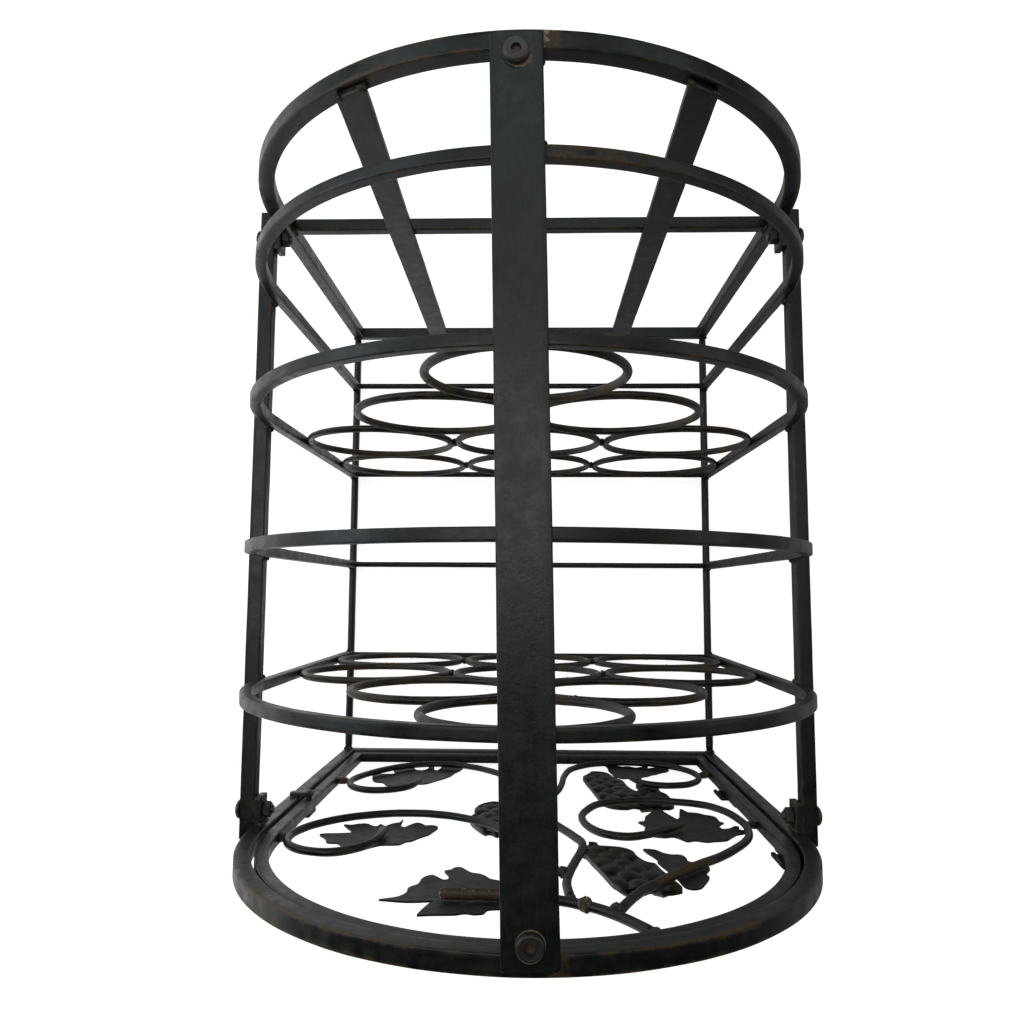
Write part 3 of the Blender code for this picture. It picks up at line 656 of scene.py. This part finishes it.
def bottle_rings(label, hoop_node):
    """Nine bent wire rings and the welds that join them and hold them in the hoop."""
    hoop_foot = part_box(hoop_node)[0].z
    nodes = [f"{label}_ring_{number}" for number in range(1, 10)]
    middles = [middle_of(node) for node in nodes]
    size = (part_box(nodes[0])[1].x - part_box(nodes[0])[0].x) / 2
    for number, (node, middle) in enumerate(zip(nodes, middles), 1):
        path = []
        for step in range(96):
            angle = math.tau * step / 96
            wander = noise.noise(around(1, angle, number * 2.3))
            bent = size - RING_WIRE + OUT_OF_ROUND * wander
            path.append(middle + Vector((bent * math.cos(angle), 0, bent * math.sin(angle))))
        shape = Shape()
        tube(shape, path, RING_WIRE, 0.95, closed=True)
        shape.piece(node + "_wire", WIRES, "rack", (node,))
    spots = []
    for i, first in enumerate(middles):
        for second in middles[i + 1:]:
            if (first - second).length < 2 * size + 1.5 * MM:
                spots.append(((first + second) / 2, (second - first).normalized()))
        outward = None
        if first.z > SPRING + 50 * MM and abs(first.x) < 1 * MM:
            outward = UP
        elif HALF_WIDTH - HOOP_BAR - abs(first.x) - size < 2 * MM:
            outward = ACROSS if first.x > 0 else -ACROSS
        if outward:
            spots.append((first + outward * size, outward))
        if first.z - size < hoop_foot + 2 * BASE_WIRE + 1 * MM:
            spots.append((first - UP * size, -UP))
    welds = Shape()
    for seed, (spot, axis) in enumerate(spots):
        along = DEPTH.cross(axis)
        for sign in (-1, 1):
            blob(welds, spot + along * sign * 2.6 * MM + DEPTH * 0.3 * MM,
                 (1.7 * MM, 2.2 * MM, 1.9 * MM), seed * 2 + sign, 0.8)
        blob(welds, spot, (2.3 * MM, 2.5 * MM, 3.4 * MM), seed + 40, 0.8, rows=11, sides=16)
    welds.piece(f"{label}_ring_welds", WELDS, "rack")


def slat_top(x):
    """Height of a slat's slanted end at x: cut off along the arch."""
    along_arch = SPRING + math.sqrt((HALF_WIDTH - 3 * MM) ** 2 - x ** 2)
    return min(along_arch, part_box("back_slat_center")[1].z)


def back_panel():
    """The back frame's crossbar and its three flat slats."""
    shape = Shape()
    box_bar(shape, *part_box("back_crossbar"), 0, 0.12, 0.0)
    shape.bar_piece("back_crossbar", "_forged")
    for label in SLATS:
        low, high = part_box("back_slat_" + label)
        shape = Shape()
        box_bar(shape, low, high, 2, 0.045, 0.8, amount=0.18 * MM)
        for point in shape.points:
            part = (point.z - low.z) / (high.z - low.z)
            point.z += part ** 8 * (slat_top(point.x) - high.z)
        shape.bar_piece("back_slat_" + label, "_strip")


# ---- ridge bar, side rails and bolts ----
def ridge_bar():
    """The flat bar along the top, a little askew, its corners rounded off."""
    low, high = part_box("ridge_bar")
    middle = Vector((RIDGE_X, (low.y + high.y) / 2, 0))
    turn = Matrix.Rotation(RIDGE_TURN, 3, "Z")
    half = RIDGE_WIDTH / 2
    reach = ((high.y - low.y) / 2 - half * math.sin(RIDGE_TURN)) / math.cos(RIDGE_TURN)
    corner, edge = 1.0 * MM, 0.6 * MM
    ends = [(reach - corner * (1 - math.cos(math.pi / 2 * step / 8)),
             corner * (1 - math.sin(math.pi / 2 * step / 8))) for step in range(9)]
    straight = [((reach - corner) * (1 - i / 60), 0) for i in range(1, 120)]
    stations = ends + straight + [(-y, pinch) for y, pinch in reversed(ends)]
    shape = Shape()
    rings, wears = [], []
    for number, (y, pinch) in enumerate(stations):
        ring, wear = [], []
        flat_half = half - pinch - edge
        for quarter, (x_side, z_side) in enumerate(((1, 1), (-1, 1), (-1, -1), (1, -1))):
            face = high.z if z_side > 0 else low.z
            for step in range(5):
                angle = math.pi / 2 * (quarter + step / 4)
                ring.append((x_side * flat_half + edge * math.cos(angle), y,
                             face - z_side * edge + edge * math.sin(angle)))
                wear.append(1.0)
            for step in range(1, 10) if quarter % 2 == 0 else ():
                ring.append((x_side * flat_half * (1 - step / 5), y, face))
                wear.append(0.2)
        places = [turn @ Vector(p) + middle for p in ring]
        rings.append([p + uneven(p, 0.13 * MM, 26 * MM) for p in places])
        wears.append([0.9] * len(ring) if number in (0, len(stations) - 1) else wear)
    shape.rings(rings, wears)
    shape.piece("ridge_bar_flat", RIDGE, "rack", ("ridge_bar",))


def ridge_bolt(node, paint, seed, chip_way, bared):
    """A flat button-head screw with a hexagon socket; paint is chipped on one side of it."""
    low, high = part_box(node)
    centre = Vector(((low.x + high.x) / 2, (low.y + high.y) / 2, 0))
    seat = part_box("ridge_bar")[1].z + 0.1 * MM
    top = seat + 3.1 * MM
    radius = (high.x - low.x) / 2
    crown = ((0, 1.3), (0.35, 0.55), (0.95, 0.1), (1.3, 0), (1.7, 0.12), (2.2, 0.2))
    socket = ((2.3, -0.2), (2.05, -0.5), (2.0, -2.1), (0, -2.4))
    profile = [(0, low.z), (2.4 * MM, low.z), (2.4 * MM, seat), (radius - 0.3 * MM, seat),
               (radius, seat + 0.4 * MM)]
    profile += [(radius - inset * MM, top - drop * MM) for inset, drop in crown]
    profile += from_mm(socket, top)
    wear = (0, 0, 0.5, 0.6, 0.4, 0.4, 0.6, 0.7, 0.6, 0.4, 0.4, 0.8, 1.6, 2.0, 2.0)
    shape = Shape()
    lathe(shape, centre, UP, profile, 48, wear, hexagon=(12, 13), hex_turn=seed)
    shape.piece(node + "_head", paint, "rack", (node,))
    worn = Shape()
    rings = [[], [], []]
    for k in range(96):
        angle = math.tau * k / 96
        way = around(1, angle)
        wander = noise.noise(way * 2.6 + Vector((0, 0, seed * 5.0)))
        bare = max(0.0, math.cos(angle - chip_way)) ** 1.2 * (0.85 + 1.1 * wander)
        flake = radius + (0.12 + 1.35 * bared * max(0.0, bare)) * MM
        rows = (radius - MM, -0.3), (flake, -0.05), (radius - MM, 0.12)
        for ring, (size, rise) in zip(rings, rows):
            ring.append(centre + way * size + UP * (seat + rise * MM))
    worn.rings(rings, [1.6] * 96)
    worn.piece(node + "_chipped_seat", CHIPS, "rack")


def side_rails():
    """Square rails along both sides with their carriage bolts, and the rods at the foot."""
    for label, side in (("left", -1), ("right", 1)):
        shape = Shape()
        box_bar(shape, *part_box("side_rail_" + label), 1, 0.08, 0.9, amount=0.12 * MM)
        shape.bar_piece("side_rail_" + label, "_forged")
        low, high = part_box("base_rail_" + label)
        middle = (low + high) / 2
        path = [Vector((middle.x, low.y + (high.y - low.y) * i / 120, middle.z))
                for i in range(121)]
        path, radii = round_ends(path, (high.z - low.z) / 2)
        shape = Shape()
        tube(shape, path, radii, 0.5, flat=ACROSS)
        shape.piece(f"base_rail_{label}_rod", WIRES, "rack",
                    ("base_rail_" + label,))
        for place in ("front", "back"):
            rail_bolt(f"rail_bolt_{label}_{place}", side)


def rail_bolt(node, side):
    """A domed carriage bolt with a hexagon nut run up against the lug."""
    low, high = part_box(node)
    middle = middle_of(node)
    tip, crown = sorted((abs(low.x), abs(high.x)))
    nut_end = ((0, 0), (1.9, 0), (2.5, 0.5), (2.5, 1.5), (3.5, 1.5), (4.0, 1.9), (4.0, 5.1),
               (3.5, 5.5), (2.5, 5.5))
    head_end = ((2.5, -3), (5.2, -3), (5.5, -2.6), (5.3, -1.9), (4.6, -1.1), (3.2, -0.4),
                (1.6, -0.1), (0, 0))
    wear = (0.9, 1.0, 1.1, 0.8, 1.0, 1.2, 1.2, 1.0, 0.5, 0.3, 0.9, 1.1, 0.8, 0.6, 0.5, 0.5, 0.5)
    shape = Shape()
    lathe(shape, (0, middle.y, middle.z), ACROSS * side,
          from_mm(nut_end, tip) + from_mm(head_end, crown), 36, wear, hexagon=(5, 6))
    shape.piece(node + "_head", BOLTS, "rack", (node,))


# ---- door: frame, scrolls, leaves and grapes ----
# Knots of the scroll wires in the door's plane, x and z in millimetres, as in the CAD part.
VINES = {
    "top_branch": (
        (53, 354), (45, 343), (36, 333), (26, 326), (15, 321), (0, 318), (-18, 315), (-39, 315),
    ),
    "right_vine": (
        (42, 331), (47, 321), (54, 309), (62, 299), (70, 290), (84, 275), (103, 257), (115, 242),
        (125, 226), (130, 207), (130, 189), (125, 168), (115, 154), (98, 147), (83, 144),
        (64, 147), (47, 155), (37, 173), (34, 189), (37, 207), (45, 220), (57, 225), (68, 221),
        (78, 213), (87, 205), (93, 198),
    ),
    "vine_stem": (
        (21, 318), (20, 300), (22, 285), (26, 267), (30, 250), (31, 237), (27, 225), (21, 211),
        (15, 195), (12, 175), (13, 155), (17, 137), (22, 118), (25, 100), (27, 80), (32, 57),
        (41, 42), (54, 32), (73, 27), (93, 28), (109, 35), (122, 49), (128, 66), (126, 84),
        (117, 97), (105, 102), (93, 101), (83, 94), (77, 80),
    ),
    "left_vine": (
        (15.9, 286), (14.3, 276), (11, 262), (5, 247), (-4, 230), (-15, 213), (-30, 197),
        (-49, 186), (-68, 182), (-88, 184), (-107, 192), (-122, 205), (-131, 220), (-133, 234),
        (-129, 247), (-119, 256), (-106, 259), (-95, 255), (-87, 246), (-83, 233), (-83, 214),
    ),
    "lower_left_vine": (
        (8, 140), (2, 120), (-6, 98), (-17, 77), (-32, 58), (-50, 44), (-72, 38), (-92, 44),
        (-108, 57), (-121, 76), (-128, 96), (-125, 113), (-115, 123), (-102, 125), (-90, 120),
        (-82, 109), (-79, 92),
    ),
}
# Where each leaf's stalk meets it, x and z, and how far its rim leans out, in millimetres.
LEAF_STALKS = {
    "upper_left_leaf": (-16, 308, 0.9),
    "left_leaf": (-84, 234, 0.8),
    "lower_left_leaf": (-82, 92, 0.7),
    "right_leaf": (86, 208, 0.8),
    "lower_right_leaf": (80, 70, 0.6),
    "upper_right_leaf": (81, 281, 0.6),
}


def door_frame():
    shape = Shape()
    arch_bar(shape, DOOR_HIGH.x, DOOR_LOW.z, DOOR_BAR, DOOR_LOW.y, DOOR_HIGH.y, True, 0.085)
    shape.bar_piece("door_frame", "_forged", "door")


def vines():
    """Scroll wires, a little thinner towards their hammered ends."""
    for node, knots in VINES.items():
        places = [Vector((x * MM, DOOR_Y, z * MM)) for x, z in knots]
        path, radii = round_ends(smooth_path(places), VINE)
        count = len(path)
        squash, wear = [], []
        for i, place in enumerate(path):
            to_end = (path[-1] - place).length
            flat = max(0.0, 1 - to_end / (16 * MM))
            flattening, rubbing = -0.35, 0.5
            if node == "top_branch":
                flat = max(0.0, min(1.0, (6 * MM - place.x) / (16 * MM)))
                flattening, rubbing = 0.2, 1.7
            squash.append(1 + flattening * flat)
            rub = 0.55 + rubbing * flat
            if node == "right_vine" and 262 * MM < place.z < 300 * MM and i < count / 3:
                rub = 1.9
            wear.append(rub)
        shape = Shape()
        tube(shape, path, radii, wear, squash=squash, sides=18, amount=0.14 * MM)
        shape.piece(node + "_wire", WIRES, "door", (node,))


def leaves():
    """Cupped sheet leaves with veins from the stalk to each lobe."""
    for seed, (node, (x, z, rim_lean)) in enumerate(LEAF_STALKS.items()):
        corners = plate_outline(node)
        rim = Rim(soften(corners))
        root = Vector((x * MM, z * MM))
        far = [(corner - root).length for corner in corners]
        reach = max(far)
        tips = [corner for k, corner in enumerate(corners)
                if far[k] > max(0.45 * reach, far[k - 1], far[(k + 1) % len(far)])]

        def back(spot):
            part = (spot - root).length / reach
            vein = 0.0
            for tip in tips:
                way = tip - root
                along = max(0.0, min(1.0, (spot - root).dot(way) / way.length_squared))
                off = (root + way * along - spot).length
                vein = max(vein, math.exp(-(off / (0.9 * MM)) ** 2) * (1 - 0.7 * along))
            curl = noise.noise(Vector((spot.x * 42, spot.y * 42, seed * 3.1)))
            rise = 0.3 * (1 - math.exp(-part * 5)) + rim_lean * part ** 2 * (0.2 + 1.2 * curl)
            return PLATE_BACK - (0.1 + rise + 0.5 * vein + 0.25 * curl) * MM

        def wear(spot):
            return 1.1 if rim.distance(spot) < 0.5 * MM else 0.35

        shape = Shape()
        sheet(shape, rim, back, 0.9 * MM, 1.7 * MM, wear)
        shape.piece(node + "_sheet", LEAVES, "door", (node,), 50)


def grapes():
    """Bunches pressed from sheet: round bosses in staggered rows."""
    spacing, radius, height = 11.5 * MM, 6.9 * MM, 3.4 * MM
    rise = spacing * ROW_PITCH
    for seed, node in enumerate(("upper_grapes", "lower_grapes", "middle_grapes")):
        rim = Rim(soften(plate_outline(node), 9))
        low, high = rim.box()
        centres = []
        for row in range(int((high.y - low.y) / rise) + 2):
            for column in range(int((high.x - low.x) / spacing) + 3):
                spot = Vector((low.x + (column - 0.5 + row % 2 / 2) * spacing,
                               low.y + (row + 0.1) * rise))
                shake = uneven(Vector((spot.x, seed * 0.1, spot.y)), 2.4 * MM, 13 * MM)
                spot += Vector((shake.x, shake.z))
                if rim.holds(spot) and rim.distance(spot) > 1.2 * MM:
                    centres.append(spot)

        def boss(spot):
            nearest = min((spot - centre).length for centre in centres)
            return math.sqrt(max(0.0, radius ** 2 - nearest ** 2)) / radius

        def back(spot):
            near_rim = min(1.0, rim.distance(spot) / (3.5 * MM))
            return PLATE_BACK - 0.7 * MM + (boss(spot) - 0.8) * near_rim * height

        # Wear peaks on each boss top, where the rubbed brown is also a painted highlight. It falls
        # low between bosses and leaves the near-black paint there as painted shade in the grooves.
        def wear(spot):
            return 0.1 + boss(spot) ** 3

        shape = Shape()
        sheet(shape, rim, back, 2.6 * MM, 1.05 * MM, wear)
        shape.piece(node + "_bosses", GRAPES_WITH_PAINTED_SHADE, "door", (node,), 60)


def door_welds():
    """Welds where the scrolls meet the door's bar and each other."""
    welds = Shape()
    inner = DOOR_HIGH.x - DOOR_BAR
    spots = [(Vector((54 * MM, DOOR_Y, 357 * MM)), (3.3, 2.8, 4.8), 1.1),
             (Vector((21.5 * MM, DOOR_Y, 320.5 * MM)), (2.4, 2.3, 3.4), 0.8),
             (Vector((11 * MM, DOOR_Y, 142 * MM)), (3.8, 2.6, 2.9), 1.1)]
    for x, z in ((-133, 234), (-128, 98), (130, 198), (128, 68)):
        near, far = abs(x) * MM + VINE - MM, inner + 0.8 * MM
        spot = Vector((math.copysign((near + far) / 2, x), DOOR_Y, z * MM))
        spots.append((spot, ((far - near) / 2 / MM, 2.3, 3.4), 1.1))
    for x, z, size, wear in ((27, 327, 3.4, 1.7), (40.3, 333.2, 3.3, 1.2), (19, 286, 3.0, 1.2)):
        spots.append((Vector((x * MM, DOOR_Y + 0.6 * MM, z * MM)), (size, size, size), wear))
    for seed, (spot, radii, wear) in enumerate(spots):
        blob(welds, spot, tuple(r * MM for r in radii), seed + 7, wear, rows=11, sides=16)
    welds.piece("door_welds", WELDS, "door")


# ---- hinges and latch ----
def hinge_half(node, body, profile, wear, plate, z_low, z_high, seam_x, seed):
    """A turned knuckle, the flat leaf beside it (offset, width) and the leaf's weld seam."""
    axis_x, axis_y, _ = frame["joints"][0]["pos_m"]
    offset, width = plate
    x, y = axis_x + offset, FRONT_LOW.y - 1.4 * MM
    seam = Vector((seam_x, FRONT_LOW.y - 0.4 * MM, 0))
    shape = Shape()
    lathe(shape, (axis_x, axis_y, 0), UP, profile, 32, wear)
    bar(shape, (x, y, z_low + MM), (x, y, z_high - MM), width, 2.2 * MM, ACROSS, 0.2, 0.9, 2 * MM)
    bead_line(shape, seam + UP * (z_low + 2.5 * MM), seam + UP * (z_high - 2.5 * MM), 1.5 * MM,
              seed)
    shape.bar_piece(node, "_knuckle", body)


def hinges():
    """Two knuckle hinges: the pin half on the frame, the barrel half on the door."""
    for seed, label in enumerate(("lower", "upper")):
        pintle, barrel = label + "_hinge_pintle", label + "_hinge_barrel"
        low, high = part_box(pintle)
        barrel_low, barrel_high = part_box(barrel)
        joint, top = barrel_low.z - 0.15 * MM, barrel_high.z
        profile = (from_mm(((0, 0), (2.9, 0), (3.5, 0.6)), low.z)
                   + from_mm(((3.5, -0.75), (3.1, -0.15), (1.5, -0.15)), joint)
                   + from_mm(((1.5, -0.6), (0.9, 0), (0, 0)), high.z))
        hinge_half(pintle, "rack", profile, (0.8, 1.1, 0.9, 0.9, 1.1, 0.5, 0.5, 0.5, 0.5),
                   (4.2 * MM, 8 * MM), low.z, joint, high.x - 0.6 * MM, seed * 9)
        profile = (from_mm(((0, -2.2), (1.6, -2.2)), top)
                   + from_mm(((1.6, 0), (3.1, 0), (3.5, 0.6)), barrel_low.z)
                   + from_mm(((3.5, -0.7), (2.9, 0), (0, 0)), top))
        hinge_half(barrel, "door", profile, (0.5, 0.5, 0.5, 1.1, 0.9, 0.9, 1.1, 0.8),
                   (-6.8 * MM, 9.2 * MM), barrel_low.z, top, barrel_low.x + 0.6 * MM,
                   seed * 9 + 4)


def latch():
    """The turn latch: a thumb bar outside, a tongue inside, on one shank."""
    low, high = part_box("latch_turn")
    x, _, z = frame["joints"][1]["pos_m"]
    outer_end = ((0, 0), (1.7, 0), (2.4, 0.5), (2.4, 1.2), (1.95, 1.3))
    inner_end = ((1.95, -1.2), (2.9, -1.1), (2.8, -0.2), (1.9, 0.6), (0, 0.9))
    shape = Shape()
    lathe(shape, (x, 0, z), DEPTH, from_mm(outer_end, low.y) + from_mm(inner_end, high.y), 28,
          (1.2, 1.3, 1.2, 1, 0.5, 0.5, 1.2, 1.3, 1.5, 1.5))
    tongue_y, thumb_y = high.y - 1.25 * MM, FRONT_LOW.y - 1.9 * MM
    bar(shape, (x - 12 * MM, tongue_y, z), (x + 3 * MM, tongue_y, z), 2.4 * MM, 6 * MM, DEPTH,
        0.22, 1.0, 2 * MM)
    bar(shape, (x, thumb_y, z - 8 * MM), (x, thumb_y, z + 8 * MM), 2.9 * MM, 5.6 * MM, DEPTH,
        0.22, 1.0, 2 * MM)
    shape.piece("latch_turn_button", BOLTS, "latch", ("latch_turn",))


def frame_welds():
    """Weld beads where hoops, rails and frames meet."""
    welds = Shape()

    def seam(centre, way, half, radius, seed):
        """Beads along way, from half before the centre to half past it."""
        centre = Vector(centre)
        bead_line(welds, centre - way * half, centre + way * half, radius, seed)

    rail_z = middle_of("side_rail_left").z
    seed = 100
    for hoop_node in HOOPS:
        low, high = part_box(hoop_node)
        for side in (-1, 1):
            for near in (low.y - 0.4 * MM, high.y + 0.4 * MM):
                seed += 3
                seam((side * (HALF_WIDTH + 0.2 * MM), near, rail_z), UP, 3 * MM, 1.5 * MM, seed)
            foot_x, y = side * (HALF_WIDTH - HOOP_BAR / 2), (low.y + high.y) / 2
            for shift in (-1.9 * MM, 1.9 * MM):
                seed += 3
                seam((foot_x + shift, y, low.z - 0.3 * MM), DEPTH, 3 * MM, 1.3 * MM, seed)
            blob(welds, (side * (HALF_WIDTH - HOOP_BAR - 0.3 * MM), y, low.z + BASE_WIRE),
                 (1.4 * MM, 2.6 * MM, 2.6 * MM), seed, 0.8)
        seed += 3
        for near in (low.y - 0.3 * MM, high.y + 0.3 * MM):
            seed += 3
            seam((0, near, CROWN - 0.9 * MM), ACROSS, 8 * MM, 1.1 * MM, seed)
    for node, inward in (("front_frame", 1), ("back_frame", -1)):
        low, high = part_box(node)
        face = low.y if inward > 0 else high.y
        inner_y = face + inward * FRAME_BAR
        for side in (-1, 1):
            seed += 5
            seam((side * (HALF_WIDTH - HOOP_BAR / 2), inner_y, 4.6 * MM), ACROSS, 2 * MM,
                 1.9 * MM, seed)
            seam((side * (HALF_WIDTH - 4 * MM), inner_y, rail_z), UP, 5.5 * MM, 1.3 * MM, seed)
            seam((side * (HALF_WIDTH - 8.3 * MM), (face + inner_y) / 2, 8.3 * MM), DEPTH, 3 * MM,
                 1.3 * MM, seed + 40)
    cross_low, cross_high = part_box("back_crossbar")
    for side in (-1, 1):
        spot = Vector((side * (cross_high.x - 0.2 * MM), cross_low.y, cross_high.z))
        bead_line(welds, spot, spot - UP * 6 * MM, 1.4 * MM, seed + 60 + side)
    for label in SLATS:
        low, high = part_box("back_slat_" + label)
        seed += 4
        seam(((low.x + high.x) / 2, low.y - 0.1 * MM, 3 * MM), ACROSS,
             (high.x - low.x) / 2 - 2 * MM, 1.2 * MM, seed)
        for x in (low.x + 1.5 * MM, high.x - 1.5 * MM):
            blob(welds, (x, low.y + 0.6 * MM, slat_top(x) - 0.4 * MM),
                 (2.3 * MM, 1.4 * MM, 1.7 * MM), seed + x / MM, 0.9, 0.35)
    welds.piece("frame_welds", WELDS, "rack")


# ---- studio ----
FLOOR_HALF, FLOOR_Z = 4.0, -0.0003
FLOOR_GLOW, FLOOR_SEEN = 0.55, 0.86  # light the floor's left side gives, and how it looks
SKY = 0.006
CAMERA_LENS = 28.36723
CAMERA_PLACE = (0.003385, -0.040884, 0.699106)
CAMERA_TURN = Vector((-5.590, 1.462, 0.225))  # degrees about this axis, from straight down
LIGHTS_AIM = Vector((0, 0, 0.2))
NEUTRAL, COOL, WARM = (1, 1, 1), (0.86, 0.95, 1), (1, 0.85, 0.62)
SOFT_LIGHTS = (  # name, place, size, power and tint
    ("overhead", (0.0, 0.28, 2.2), (0.8, 0.5), 3.1, NEUTRAL),
    ("overhead_left", (-0.75, 0.2, 2.1), (0.8, 0.8), 3.7, NEUTRAL),
    ("overhead_right", (0.75, 0.2, 2.1), (0.8, 0.8), 1.0, NEUTRAL),
    ("overhead_back", (0.0, 1.2, 1.9), (1.0, 0.5), 2.5, COOL),
    ("back_left", (-1.4, 1.4, 1.6), (1.0, 1.0), 4.2, COOL),
    ("back_right", (1.4, 1.4, 1.6), (1.0, 1.0), 2.6, COOL),
    ("left", (-1.8, 0.3, 1.0), (1.4, 1.0), 8.0, COOL),
    ("right", (1.8, 0.3, 1.0), (1.4, 1.0), 3.0, NEUTRAL),
    ("front_low", (0.4, -2.0, 0.45), (1.8, 0.6), 3.5, WARM),
)


def studio():
    """A pale floor, soft lights and the camera above the rack."""
    mesh = bpy.data.meshes.new("floor")
    corners = ((-1, -1), (1, -1), (1, 1), (-1, 1))
    mesh.from_pydata([(x * FLOOR_HALF, y * FLOOR_HALF, FLOOR_Z) for x, y in corners], [],
                     [(0, 1, 2, 3)])
    floor = new_object("floor", mesh)
    n = Nodes("floor_paper")
    where = n.place()
    n.link(n.mix(n.cloud(where, 3, 3), (0.86, 0.86, 0.86), (0.9, 0.9, 0.9)),
           n.shader.inputs["Base Color"])
    n.shader.inputs["Roughness"].default_value = 0.9
    n.shader.inputs["Specular IOR Level"].default_value = 0.1
    n.shader.inputs["Emission Color"].default_value = (1, 1, 1, 1)
    seen = n.add("ShaderNodeLightPath").outputs["Is Camera Ray"]
    apart = n.add("ShaderNodeSeparateXYZ", {0: where})
    glow = n.times(n.ramp(apart.outputs["X"], 0.1, -0.3), FLOOR_GLOW)
    glow = n.times(glow, n.math("SUBTRACT", 1.0, seen))
    n.link(n.plus(glow, n.times(seen, FLOOR_SEEN)), n.shader.inputs["Emission Strength"])
    mesh.materials.append(n.material)

    world = bpy.data.worlds.new("studio")
    bpy.context.scene.world = world
    world.use_nodes = True
    tree = world.node_tree
    background = tree.nodes["Background"]
    seen = tree.nodes.new("ShaderNodeBackground")
    for node, strength in ((background, SKY), (seen, 1.0)):
        node.inputs["Strength"].default_value = strength
        node.inputs["Color"].default_value = (1, 1, 1, 1)
    paths = tree.nodes.new("ShaderNodeLightPath")
    mixed = tree.nodes.new("ShaderNodeMixShader")
    tree.links.new(paths.outputs["Is Camera Ray"], mixed.inputs["Fac"])
    tree.links.new(background.outputs[0], mixed.inputs[1])
    tree.links.new(seen.outputs[0], mixed.inputs[2])
    tree.links.new(mixed.outputs[0], tree.nodes["World Output"].inputs["Surface"])

    for name, place, size, power, tint in SOFT_LIGHTS:
        data = bpy.data.lights.new(name, "AREA")
        data.shape = "RECTANGLE"
        data.size, data.size_y = size
        data.energy = power
        data.color = tint
        light = new_object(name, data)
        light.location = place
        aim = LIGHTS_AIM - Vector(place)
        light.rotation_euler = aim.to_track_quat("-Z", "Y").to_euler()

    data = bpy.data.cameras.new("camera")
    data.sensor_width = 36
    data.lens = CAMERA_LENS
    data.clip_start = 0.01
    camera = new_object("camera", data)
    flip = Matrix.Diagonal((1, -1, -1))
    rotation = Matrix.Rotation(math.radians(CAMERA_TURN.length), 3, CAMERA_TURN.normalized())
    view = (flip @ rotation @ flip).transposed().to_4x4()
    view.translation = CAMERA_PLACE
    camera.matrix_world = view
    bpy.context.scene.camera = camera
    bpy.context.scene.view_settings.view_transform = "Standard"


end_frame("back_frame", 1)
end_frame("front_frame", -1)
back_panel()
for hoop_name in HOOPS:
    hoop(hoop_name)
bottle_rings("rear", "hoop_2")
bottle_rings("front", "hoop_4")
ridge_bar()
ridge_bolt("ridge_bolt_back", SCREWS, 1, math.radians(-50), 0.9)
# The front bolt gets the darker copy of the screw paint as painted shade.
ridge_bolt("ridge_bolt_front", SCREWS_IN_PAINTED_SHADE, 2, math.radians(35), 0.2)
side_rails()
frame_welds()
door_frame()
vines()
leaves()
grapes()
door_welds()
hinges()
latch()
studio()
